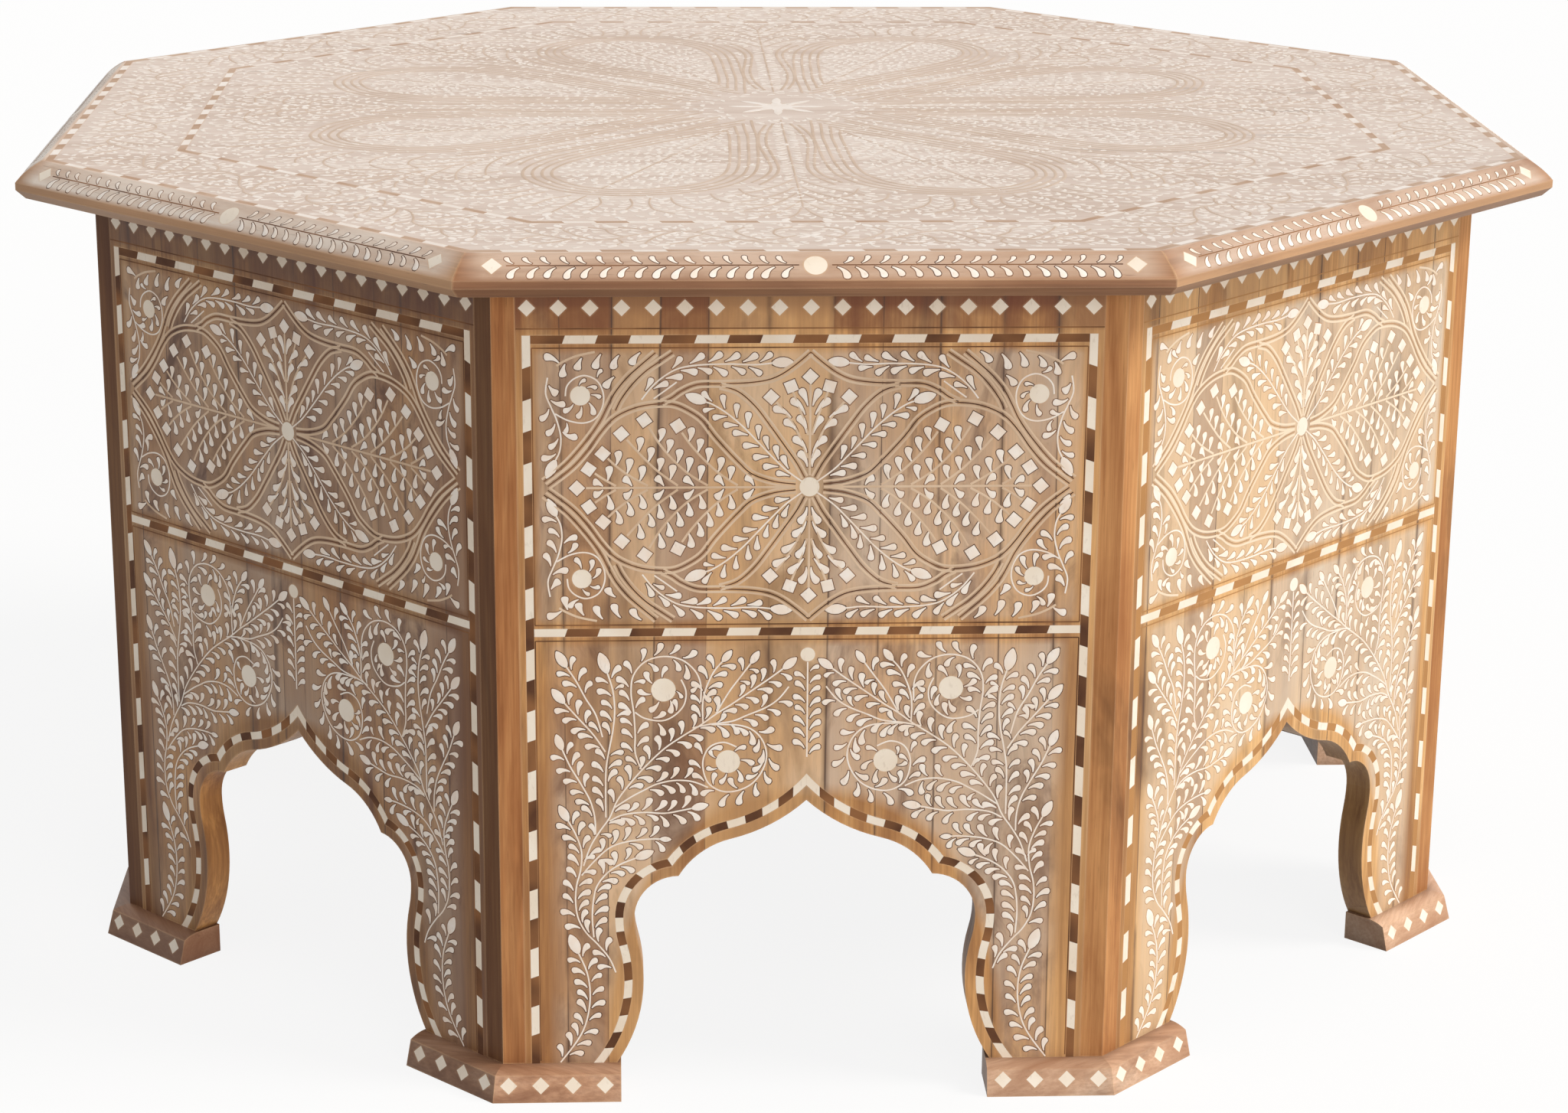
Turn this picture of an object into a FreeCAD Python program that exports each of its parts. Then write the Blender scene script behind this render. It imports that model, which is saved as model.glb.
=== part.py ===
import FreeCAD
import Part
import math
import os

from FreeCAD import Vector

# Inlaid octagonal coffee table, in millimetres.
# The origin is on the floor under the middle of the table, +Z is up, and the front side faces -Y.
# Each piece of one side is built at the front and turned in equal steps about the vertical axis.
# On a side, "along" is +X at the front, and "apothem" is the distance from the vertical axis.

# Whole table
SIDES = 8
TABLE_HEIGHT = 457.0
TOP_ACROSS_FLATS = 844.0
TOP_OVERHANG = 40.0

# Top board and its edge moulding
TOP_THICKNESS = 20.0
EDGE_WIDTH = 20.0
BEVEL_RUN = 14.0
BEVEL_DROP = 11.0
BEVEL_CROWN = 0.9
NOSE_HEIGHT = 4.0
UNDERCUT_RUN = 5.0
SPLINE_LENGTH = 260.0
SPLINE_WIDTH = 16.0
SPLINE_THICKNESS = 4.0

# Side panels, corner posts and their tongue and groove
PANEL_THICKNESS = 16.0
POST_FACE = 12.0
TONGUE_THICKNESS = 5.0
TONGUE_DEPTH = 4.0
GLUE_GAP = 0.1

# Cusped arch of a side panel, walked from the apex down to the foot on one half.
# Each bend is (radius, heading at its start, heading at its end), the heading in degrees below level.
# The heading falls where the wood bulges into the opening, and jumps at the tooth between the lobes.
ARCH_APEX_HEIGHT = 163.3
ARCH_BENDS = [
    (88.0, 43.0, 14.0),
    (43.5, 14.0, 60.0),
    (23.0, 0.0, 90.0),
    (52.0, 90.0, 105.0),
    (85.0, 105.0, 52.0),
]

# Feet
FOOT_HEIGHT = 16.5
FOOT_FRONT_HEIGHT = 14.0
FOOT_PROUD = 13.0
FOOT_SPLAY = 3.5
FOOT_SHOULDER = 0.6
FOOT_REACH = 62.0

# Cleats inside the top of the case
CLEAT_SIZE = 20.0
CLEAT_LENGTH = 240.0

# Screws and dowels
SCREW_DIAMETER = 4.0
SCREW_HEAD_DIAMETER = 8.0
SCREW_HEAD_HEIGHT = 3.0
SCREW_BITE = 11.0
FOOT_SCREW_BITE = 25.0
FOOT_SCREW_RECESS = 1.5
CLEAT_SCREW_SPACING = 170.0
TOP_SCREW_SPACING = 100.0
DOWEL_DIAMETER = 5.0
DOWEL_LENGTH = 26.0
DOWEL_INSET = 10.0

# Inlay
INLAY_THICKNESS = 2.0
STRIP_WIDTH = 4.2
DASH_PITCH = 33.0
DASH_SLANT = 1.5
DASH_BONE_LENGTH = 16.2
BORDER_MARGIN = 3.2
BORDER_TOP_DROP = 29.5
MID_STRIP_HEIGHT = 255.0
ARCH_STRIP_MARGIN = 5.8
ARCH_DASH_LENGTH = 9.8
FRIEZE_DROP = 13.5
FRIEZE_PITCH = 15.6
FRIEZE_LOZENGE = 8.5
FOOT_LOZENGE = 9.0
FOOT_LOZENGE_RISE = 9.0
FOOT_LOZENGES = 4
EDGE_DISC_DIAMETER = 11.5
EDGE_LOZENGE = 10.0
EDGE_LOZENGE_INSET = 16.0
TOP_BAND_WIDTH = 66.0
STAR_POINTS = 8
STAR_TIP_RADIUS = 26.0
STAR_NOTCH_RADIUS = 9.0

# Discs on a panel. A vine disc has a place along the side, and a share of the way from the arch's apex
# up to the middle strip.
HUB_DISC_DIAMETER = 10.0
CORNER_DISC_DIAMETER = 10.0
CORNER_DISC_INSET = 26.5
SPRIG_DISC_DIAMETER = 7.5
SPRIG_DISC_DROP = 12.5
VINE_DISC_DIAMETER = 12.5
OUTER_VINE_ALONG = 73.5
OUTER_VINE_SHARE = 0.662
INNER_VINE_ALONG = 40.5
INNER_VINE_SHARE = 0.234

# Worked out from the sizes above
STEP = 360.0 / SIDES
HALF_STEP = math.radians(STEP / 2)
SIDE_SLOPE = math.tan(HALF_STEP)
TOP_APOTHEM = TOP_ACROSS_FLATS / 2
BODY_APOTHEM = TOP_APOTHEM - TOP_OVERHANG
BODY_TOP = TABLE_HEIGHT - TOP_THICKNESS
BODY_HALF_SIDE = BODY_APOTHEM * SIDE_SLOPE
SEAM_ALONG = BODY_HALF_SIDE - POST_FACE
PANEL_BACK = BODY_APOTHEM - PANEL_THICKNESS
BOARD_APOTHEM = TOP_APOTHEM - EDGE_WIDTH
RIDGE_HEIGHT = TABLE_HEIGHT - BEVEL_DROP
FOOT_END_ALONG = BODY_HALF_SIDE - FOOT_REACH
STRIP_ALONG = SEAM_ALONG - BORDER_MARGIN - STRIP_WIDTH / 2
TOP_STRIP_HEIGHT = BODY_TOP - BORDER_TOP_DROP


def polygon_face(points):
    return Part.Face(Part.makePolygon(points + [points[0]]))


def box(along, apothem, height):
    """A box at the front side, from (low, high) pairs."""
    size = [high - low for low, high in (along, apothem, height)]
    return Part.makeBox(size[0], size[1], size[2], Vector(along[0], -apothem[1], height[0]))


def grown(pair, gap):
    return (pair[0] - gap, pair[1] + gap)


def around_middle(middle, size):
    return (middle - size / 2, middle + size / 2)


def regular_plate(apothem, low, high):
    """A regular prism with flat sides at the given apothem."""
    radius = apothem / math.cos(HALF_STEP)
    angles = [HALF_STEP + math.radians(STEP) * i for i in range(SIDES)]
    corners = [Vector(radius * math.sin(a), -radius * math.cos(a), low) for a in angles]
    return polygon_face(corners).extrude(Vector(0, 0, high - low))


def front_wedge():
    """The sector of space that belongs to the front side, between its two mitre planes."""
    reach = TOP_ACROSS_FLATS
    corners = [Vector(0, 0, 0), Vector(-reach * SIDE_SLOPE, -reach, 0), Vector(reach * SIDE_SLOPE, -reach, 0)]
    return polygon_face(corners).extrude(Vector(0, 0, TABLE_HEIGHT))


def mirrored_at_corner(shape):
    """The shape's mirror image in the mitre plane at the front side's right-hand corner."""
    return shape.mirror(Vector(0, 0, 0), Vector(math.cos(HALF_STEP), math.sin(HALF_STEP), 0))


def mirrored_left(shape):
    return shape.mirror(Vector(0, 0, 0), Vector(1, 0, 0))


def on_each_side(shapes):
    """Copies of the front side's shapes on all sides."""
    copies = []
    for i in range(SIDES):
        for shape in shapes:
            copies.append(turned(shape, i))
    return copies


def only_solid(shape):
    """The one solid of a joined or cut shape, with its seams healed."""
    return shape.removeSplitter().Solids[0]


def turned(shape, i):
    copy = shape.copy()
    copy.rotate(Vector(0, 0, 0), Vector(0, 0, 1), STEP * i)
    return copy


def save(node, shapes):
    os.makedirs("parts", exist_ok=True)
    shape = shapes[0] if len(shapes) == 1 else Part.makeCompound(shapes)
    shape.exportStep("parts/" + node + ".step")


def save_on_each_side(node, shape):
    for i in range(SIDES):
        save(node + "_" + str(i + 1), [turned(shape, i)])


def screw(head, direction, length):
    """A countersunk screw with the middle of its head at a point, driven along a direction."""
    cone = Part.makeCone(SCREW_HEAD_DIAMETER / 2, SCREW_DIAMETER / 2, SCREW_HEAD_HEIGHT, head, direction)
    shank = Part.makeCylinder(SCREW_DIAMETER / 2, length, head, direction)
    return only_solid(cone.fuse(shank))


# Inlay outlines


def dashes(length, mitre, bone_ends):
    """Bone and dark pieces of one straight strip, as outlines of (along, across) points from its middle.

    mitre is how much each end of the strip grows for each unit across it. bone_ends is how many of its
    ends have a bone piece: none, the far one or both."""
    half = STRIP_WIDTH / 2
    fewer_dark = bone_ends - 1
    count = max(2, round((length + fewer_dark * (DASH_PITCH - DASH_BONE_LENGTH)) / DASH_PITCH))
    dark_length = (length - count * DASH_BONE_LENGTH) / (count - fewer_dark)
    both = bone_ends == 2
    first = (0.0 if both else dark_length) - length / 2
    cuts = []
    for i in range(count):
        start = first + i * (DASH_BONE_LENGTH + dark_length)
        cuts += [start, start + DASH_BONE_LENGTH]
    if both:
        cuts = cuts[1:]
    if bone_ends:
        cuts = cuts[:-1]
    near = [mitre * half - length / 2] + [cut - DASH_SLANT / 2 for cut in cuts] + [length / 2 - mitre * half]
    far = [-mitre * half - length / 2] + [cut + DASH_SLANT / 2 for cut in cuts] + [length / 2 + mitre * half]
    outlines = []
    for i in range(len(near) - 1):
        outlines.append([(near[i], -half), (near[i + 1], -half), (far[i + 1], half), (far[i], half)])
    return (outlines[0::2], outlines[1::2]) if both else (outlines[1::2], outlines[0::2])


def on_panel(outline):
    """An inlay piece let into the front panel, from (along, height) points."""
    points = [Vector(along, -BODY_APOTHEM, height) for along, height in outline]
    return polygon_face(points).extrude(Vector(0, INLAY_THICKNESS, 0))


def on_top(outline, apothem):
    """An inlay piece let into the table top, from (along, across) points about an apothem."""
    points = [Vector(along, -apothem - across, TABLE_HEIGHT) for along, across in outline]
    return polygon_face(points).extrude(Vector(0, 0, -INLAY_THICKNESS))


def panel_disc(diameter, along, height):
    return Part.makeCylinder(diameter / 2, INLAY_THICKNESS, Vector(along, -BODY_APOTHEM, height), Vector(0, 1, 0))


def lozenge_corners(middle, across, up, diagonal):
    half = diagonal / 2
    return [middle - across * half, middle - up * half, middle + across * half, middle + up * half]


# The arch


def arch_arcs():
    """The bends of the right half of the arch, as (centre along, centre height, radius, side, start, end).

    side is 1 where the centre lies in the wood and -1 where it lies in the opening."""
    along = 0.0
    height = ARCH_APEX_HEIGHT
    arcs = []
    for radius, start_degrees, end_degrees in ARCH_BENDS:
        start = math.radians(start_degrees)
        end = math.radians(end_degrees)
        side = 1 if end < start else -1
        centre_along = along + side * radius * math.sin(start)
        centre_height = height + side * radius * math.cos(start)
        arcs.append((centre_along, centre_height, radius, side, start, end))
        along = centre_along - side * radius * math.sin(end)
        height = centre_height - side * radius * math.cos(end)
    return arcs


def arch_point(arc, offset, heading):
    """The point of a bend at a heading, moved into the wood by an offset."""
    centre_along, centre_height, radius, side = arc[:4]
    reach = side * radius - offset
    return Vector(centre_along - reach * math.sin(heading), -BODY_APOTHEM, centre_height - reach * math.cos(heading))


def lobes_meet(upper, lower, offset):
    """Headings, on the upper and the lower lobe, of the point where they cross at an offset into the wood."""
    upper_along, upper_height, upper_radius = upper[:3]
    lower_along, lower_height, lower_radius = lower[:3]
    upper_reach = upper_radius + offset
    lower_reach = lower_radius + offset
    run = lower_along - upper_along
    rise = lower_height - upper_height
    span = math.hypot(run, rise)
    foot = (upper_reach ** 2 - lower_reach ** 2 + span ** 2) / (2 * span)
    lift = math.sqrt(upper_reach ** 2 - foot ** 2)
    along = upper_along + (run * foot - rise * lift) / span
    height = upper_height + (rise * foot + run * lift) / span
    upper_heading = math.atan2(along - upper_along, height - upper_height)
    lower_heading = math.atan2(along - lower_along, height - lower_height)
    return upper_heading, lower_heading


def arch_headings(arcs, offset):
    """Start and end heading of each bend at an offset, from the middle line to the top of the foot."""
    spans = [[arc[4], arc[5]] for arc in arcs]
    spans[0][0] = math.asin(arcs[0][0] / (arcs[0][2] - offset))
    for i in range(len(arcs) - 1):
        if spans[i][1] != spans[i + 1][0]:
            spans[i][1], spans[i + 1][0] = lobes_meet(arcs[i], arcs[i + 1], offset)
    spans[-1][1] = math.acos((arcs[-1][1] - FOOT_HEIGHT) / (arcs[-1][2] - offset))
    return spans


def arch_edge(arc, offset, start, end):
    points = [arch_point(arc, offset, heading) for heading in (start, (start + end) / 2, end)]
    return Part.Arc(points[0], points[1], points[2]).toShape()


def arch_piece(arc, near, far):
    """An inlay piece between two offsets, each given as (offset, start heading, end heading)."""
    near_start, near_end = [arch_point(arc, near[0], heading) for heading in near[1:]]
    far_start, far_end = [arch_point(arc, far[0], heading) for heading in far[1:]]
    edges = [
        arch_edge(arc, near[0], near[1], near[2]),
        Part.makeLine(near_end, far_end),
        arch_edge(arc, far[0], far[2], far[1]),
        Part.makeLine(far_start, near_start),
    ]
    return Part.Face(Part.Wire(edges)).extrude(Vector(0, INLAY_THICKNESS, 0))


def arch_strip():
    """Bone pieces, dark pieces and grooves of the strip that follows the front panel's arch."""
    arcs = arch_arcs()
    near_offset = ARCH_STRIP_MARGIN
    far_offset = ARCH_STRIP_MARGIN + STRIP_WIDTH
    near_spans = arch_headings(arcs, near_offset)
    far_spans = arch_headings(arcs, far_offset)
    kinds = ([], [])
    grooves = []
    placed = 0
    for arc, near, far in zip(arcs, near_spans, far_spans):
        reach = arc[2] - arc[3] * (near_offset + far_offset) / 2
        count = max(1, round(abs(near[1] - near[0]) * reach / ARCH_DASH_LENGTH))
        for i in range(count):
            near_part = [near[0] + (near[1] - near[0]) * share / count for share in (i, i + 1)]
            far_part = [far[0] + (far[1] - far[0]) * share / count for share in (i, i + 1)]
            piece = arch_piece(arc, [near_offset] + near_part, [far_offset] + far_part)
            kinds[placed % 2].extend([piece, mirrored_left(piece)])
            placed += 1
        groove = arch_piece(arc, [near_offset] + near, [far_offset] + far)
        grooves.extend([groove, mirrored_left(groove)])
    return kinds[0], kinds[1], grooves


def arch_opening():
    """The space of the front panel's arch, right through the panel."""
    arcs = arch_arcs()
    right = []
    for arc, span in zip(arcs, arch_headings(arcs, 0.0)):
        right.append(arch_edge(arc, 0.0, span[0], span[1]))
    left = [mirrored_left(edge) for edge in right]
    ends = [edges[-1].Vertexes[-1].Point for edges in (right, left)]
    below = [Vector(end.x, end.y, FOOT_HEIGHT - PANEL_THICKNESS) for end in ends]
    bottom = Part.makePolygon([ends[0], below[0], below[1], ends[1]]).Edges
    outline = Part.Wire(Part.__sortEdges__(right + bottom + left))
    return Part.Face(outline).extrude(Vector(0, PANEL_THICKNESS, 0))


# Side panels, posts and feet


def panel_border():
    """Bone pieces, dark pieces and grooves of the straight strips on the front panel."""
    half = STRIP_WIDTH / 2
    between = 2 * STRIP_ALONG - STRIP_WIDTH
    high_end = TOP_STRIP_HEIGHT + half
    upright = high_end - FOOT_HEIGHT
    upright_middle = (FOOT_HEIGHT + high_end) / 2
    runs = [
        (between, 0, lambda s, w: (s, TOP_STRIP_HEIGHT + w)),
        (between, 2, lambda s, w: (s, MID_STRIP_HEIGHT + w)),
        (upright, 1, lambda s, w: (STRIP_ALONG - w, upright_middle + s)),
        (upright, 1, lambda s, w: (w - STRIP_ALONG, upright_middle + s)),
    ]
    bone = []
    dark = []
    grooves = []
    for length, bone_ends, place in runs:
        bone_outlines, dark_outlines = dashes(length, 0.0, bone_ends)
        bone += [on_panel([place(s, w) for s, w in outline]) for outline in bone_outlines]
        dark += [on_panel([place(s, w) for s, w in outline]) for outline in dark_outlines]
        ends = [(-length / 2, -half), (length / 2, -half), (length / 2, half), (-length / 2, half)]
        grooves.append(on_panel([place(s, w) for s, w in ends]))
    return bone, dark, grooves


def frieze_lozenges():
    count = int((2 * SEAM_ALONG - FRIEZE_LOZENGE) // FRIEZE_PITCH) + 1
    pieces = []
    for i in range(count):
        middle = Vector((i - (count - 1) / 2) * FRIEZE_PITCH, -BODY_APOTHEM, BODY_TOP - FRIEZE_DROP)
        corners = lozenge_corners(middle, Vector(1, 0, 0), Vector(0, 0, 1), FRIEZE_LOZENGE)
        pieces.append(polygon_face(corners).extrude(Vector(0, INLAY_THICKNESS, 0)))
    return pieces


def panel_discs():
    field_bottom = MID_STRIP_HEIGHT + STRIP_WIDTH / 2
    field_top = TOP_STRIP_HEIGHT - STRIP_WIDTH / 2
    discs = [
        panel_disc(HUB_DISC_DIAMETER, 0.0, (field_bottom + field_top) / 2),
        panel_disc(SPRIG_DISC_DIAMETER, 0.0, MID_STRIP_HEIGHT - SPRIG_DISC_DROP),
    ]
    for way in (-1, 1):
        for height in (field_bottom + CORNER_DISC_INSET, field_top - CORNER_DISC_INSET):
            discs.append(panel_disc(CORNER_DISC_DIAMETER, way * (STRIP_ALONG - CORNER_DISC_INSET), height))
        for along, share in ((OUTER_VINE_ALONG, OUTER_VINE_SHARE), (INNER_VINE_ALONG, INNER_VINE_SHARE)):
            height = ARCH_APEX_HEIGHT + share * (MID_STRIP_HEIGHT - ARCH_APEX_HEIGHT)
            discs.append(panel_disc(VINE_DISC_DIAMETER, way * along, height))
    return discs


def tongue(gap):
    """The tongue on the front panel's right-hand edge, or its groove when it is grown by the gap."""
    middle = BODY_APOTHEM - PANEL_THICKNESS / 2
    along = (SEAM_ALONG, SEAM_ALONG + TONGUE_DEPTH + gap)
    return box(along, grown(around_middle(middle, TONGUE_THICKNESS), gap), (FOOT_HEIGHT, BODY_TOP))


def side_panel(pockets):
    plate = box((-SEAM_ALONG, SEAM_ALONG), (PANEL_BACK, BODY_APOTHEM), (FOOT_HEIGHT, BODY_TOP))
    right_tongue = tongue(0.0)
    plate = only_solid(plate.fuse([right_tongue, mirrored_left(right_tongue)]))
    return only_solid(plate.cut(arch_opening()).cut(pockets))


def corner_dowel():
    radius = BODY_APOTHEM / math.cos(HALF_STEP) - DOWEL_INSET
    low = Vector(radius * math.sin(HALF_STEP), -radius * math.cos(HALF_STEP), FOOT_HEIGHT - DOWEL_LENGTH / 2)
    return Part.makeCylinder(DOWEL_DIAMETER / 2, DOWEL_LENGTH, low)


def corner_post():
    """The post at the front side's right-hand corner, grooved for the two panels that meet there."""
    corner = Part.Vertex(BODY_HALF_SIDE, -BODY_APOTHEM, FOOT_HEIGHT)
    seam = Part.Vertex(SEAM_ALONG, -BODY_APOTHEM, FOOT_HEIGHT)
    back = Part.Vertex(SEAM_ALONG, -PANEL_BACK, FOOT_HEIGHT)
    outline = [corner, seam, back, mirrored_at_corner(back), mirrored_at_corner(seam)]
    post = polygon_face([vertex.Point for vertex in outline]).extrude(Vector(0, 0, BODY_TOP - FOOT_HEIGHT))
    groove = tongue(GLUE_GAP)
    return only_solid(post.cut([groove, mirrored_at_corner(groove), corner_dowel()]))


def foot_front_frame():
    """Bottom of the foot's sloping front on the front side, the way up it, and its outward normal."""
    slope = Vector(0, FOOT_SPLAY, FOOT_FRONT_HEIGHT).normalize()
    return Vector(0, -BODY_APOTHEM - FOOT_PROUD, 0), slope, Vector(0, -slope.z, slope.y)


def foot_lozenges():
    """Lozenges of the right-hand foot, on the front side and on the next."""
    bottom, slope, normal = foot_front_frame()
    length = (BODY_APOTHEM + FOOT_PROUD) * SIDE_SLOPE - FOOT_END_ALONG
    pitch = length / FOOT_LOZENGES
    pieces = []
    for i in range(FOOT_LOZENGES):
        middle = bottom + Vector(FOOT_END_ALONG + (i + 0.5) * pitch, 0, 0) + slope * FOOT_LOZENGE_RISE
        corners = lozenge_corners(middle, Vector(1, 0, 0), slope, FOOT_LOZENGE)
        pieces.append(polygon_face(corners).extrude(normal * -INLAY_THICKNESS))
    return pieces + [mirrored_at_corner(piece) for piece in pieces]


def foot_screws():
    """Screws that hold the right-hand foot to the panels beside it, and the recesses under their heads."""
    along = (FOOT_END_ALONG + SEAM_ALONG) / 2
    place = Vector(along, -BODY_APOTHEM + PANEL_THICKNESS / 2, 0)
    head = place + Vector(0, 0, FOOT_SCREW_RECESS)
    piece = screw(head, Vector(0, 0, 1), FOOT_HEIGHT - FOOT_SCREW_RECESS + FOOT_SCREW_BITE)
    recess = Part.makeCylinder(SCREW_HEAD_DIAMETER / 2, FOOT_SCREW_RECESS, place)
    return [piece, mirrored_at_corner(piece)], [recess, mirrored_at_corner(recess)]


def corner_foot(pockets):
    """The foot at the front side's right-hand corner: two mitred lengths of plinth glued into one block."""
    section = [
        (PANEL_BACK, 0.0),
        (BODY_APOTHEM + FOOT_PROUD, 0.0),
        (BODY_APOTHEM + FOOT_PROUD - FOOT_SPLAY, FOOT_FRONT_HEIGHT),
        (BODY_APOTHEM + (FOOT_PROUD - FOOT_SPLAY) / 2, (FOOT_FRONT_HEIGHT + FOOT_HEIGHT) / 2 + FOOT_SHOULDER),
        (BODY_APOTHEM, FOOT_HEIGHT),
        (PANEL_BACK, FOOT_HEIGHT),
    ]
    points = [Vector(FOOT_END_ALONG, -apothem, height) for apothem, height in section]
    edges = [
        Part.makeLine(points[0], points[1]),
        Part.makeLine(points[1], points[2]),
        Part.Arc(points[2], points[3], points[4]).toShape(),
        Part.makeLine(points[4], points[5]),
        Part.makeLine(points[5], points[0]),
    ]
    length = 2 * FOOT_REACH + FOOT_PROUD
    half = Part.Face(Part.Wire(edges)).extrude(Vector(length, 0, 0)).common(front_wedge())
    block = only_solid(half.fuse(mirrored_at_corner(half)))
    return only_solid(block.cut(pockets))


# Top


def bevel_frame():
    """Middle of the front edge's bevel, the way up it, and its outward normal."""
    slope = Vector(0, BEVEL_RUN, BEVEL_DROP).normalize()
    middle = Vector(0, -TOP_APOTHEM + BEVEL_RUN / 2, TABLE_HEIGHT - BEVEL_DROP / 2)
    return middle, slope, Vector(0, -slope.z, slope.y)


def edge_moulding_blank():
    """The front edge moulding before its inlay: undercut, nose, bevel and a rabbet for the outer strip."""
    low = BODY_TOP
    rabbet_apothem = BOARD_APOTHEM + STRIP_WIDTH
    rabbet_floor = TABLE_HEIGHT - INLAY_THICKNESS
    middle, slope, normal = bevel_frame()
    crown = middle + normal * BEVEL_CROWN
    section = [
        (BOARD_APOTHEM, low),
        (TOP_APOTHEM - UNDERCUT_RUN, low),
        (TOP_APOTHEM, RIDGE_HEIGHT - NOSE_HEIGHT),
        (TOP_APOTHEM, RIDGE_HEIGHT),
        (TOP_APOTHEM - BEVEL_RUN, TABLE_HEIGHT),
        (rabbet_apothem, TABLE_HEIGHT),
        (rabbet_apothem, rabbet_floor),
        (BOARD_APOTHEM, rabbet_floor),
    ]
    points = [Vector(-TOP_APOTHEM, -apothem, height) for apothem, height in section]
    bevel_start = section.index((TOP_APOTHEM, RIDGE_HEIGHT))
    edges = []
    for i, point in enumerate(points):
        following = points[(i + 1) % len(points)]
        if i == bevel_start:
            bulge = Vector(-TOP_APOTHEM, crown.y, crown.z)
            edges.append(Part.Arc(point, bulge, following).toShape())
        else:
            edges.append(Part.makeLine(point, following))
    blank = Part.Face(Part.Wire(edges)).extrude(Vector(TOP_ACROSS_FLATS, 0, 0))
    return only_solid(blank.common(front_wedge()))


def edge_tools():
    """Bodies that cut the disc and the two corner lozenges out of the front edge's bevel."""
    middle, slope, normal = bevel_frame()
    floor = middle - normal * INLAY_THICKNESS
    height = 2 * INLAY_THICKNESS + BEVEL_CROWN
    disc = Part.makeCylinder(EDGE_DISC_DIAMETER / 2, height, floor, normal)
    along = (TOP_APOTHEM - BEVEL_RUN / 2) * SIDE_SLOPE - EDGE_LOZENGE_INSET
    corners = lozenge_corners(floor + Vector(along, 0, 0), Vector(1, 0, 0), slope, EDGE_LOZENGE)
    lozenge = polygon_face(corners).extrude(normal * height)
    return disc, [lozenge, mirrored_left(lozenge)]


def edge_spline(gap):
    """The loose tongue between the front edge moulding and the board, or its slot when grown by the gap."""
    along = grown(around_middle(0.0, SPLINE_LENGTH), gap)
    apothem = grown(around_middle(BOARD_APOTHEM, SPLINE_WIDTH), gap)
    height = grown(around_middle(BODY_TOP + TOP_THICKNESS / 2, SPLINE_THICKNESS), gap)
    return box(along, apothem, height)


def top_strip(apothem):
    """Bone pieces, dark pieces and groove of the front length of a strip on the table top."""
    length = 2 * apothem * SIDE_SLOPE
    half = STRIP_WIDTH / 2
    bone_outlines, dark_outlines = dashes(length, SIDE_SLOPE, 0)
    bone = [on_top(outline, apothem) for outline in bone_outlines]
    dark = [on_top(outline, apothem) for outline in dark_outlines]
    near = (apothem - half) * SIDE_SLOPE
    far = (apothem + half) * SIDE_SLOPE
    groove = on_top([(-near, -half), (near, -half), (far, half), (-far, half)], apothem)
    return bone, dark, groove


def top_star():
    points = []
    for i in range(2 * STAR_POINTS):
        radius = STAR_TIP_RADIUS if i % 2 == 0 else STAR_NOTCH_RADIUS
        angle = math.pi * i / STAR_POINTS
        points.append(Vector(radius * math.sin(angle), -radius * math.cos(angle), TABLE_HEIGHT))
    return polygon_face(points).extrude(Vector(0, 0, -INLAY_THICKNESS))


# Cleats and their screws


def cleat_screws():
    pieces = []
    head_apothem = PANEL_BACK - CLEAT_SIZE
    for along in around_middle(0.0, CLEAT_SCREW_SPACING):
        head = Vector(along, -head_apothem, BODY_TOP - CLEAT_SIZE / 2)
        pieces.append(screw(head, Vector(0, -1, 0), CLEAT_SIZE + SCREW_BITE))
    return pieces


def top_screws():
    pieces = []
    for along in around_middle(0.0, TOP_SCREW_SPACING):
        head = Vector(along, -PANEL_BACK + CLEAT_SIZE / 2, BODY_TOP - CLEAT_SIZE)
        pieces.append(screw(head, Vector(0, 0, 1), CLEAT_SIZE + SCREW_BITE))
    return pieces


def top_cleat(holes):
    apothem = (PANEL_BACK - CLEAT_SIZE, PANEL_BACK)
    bar = box(around_middle(0.0, CLEAT_LENGTH), apothem, (BODY_TOP - CLEAT_SIZE, BODY_TOP))
    return only_solid(bar.cut(holes))


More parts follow.
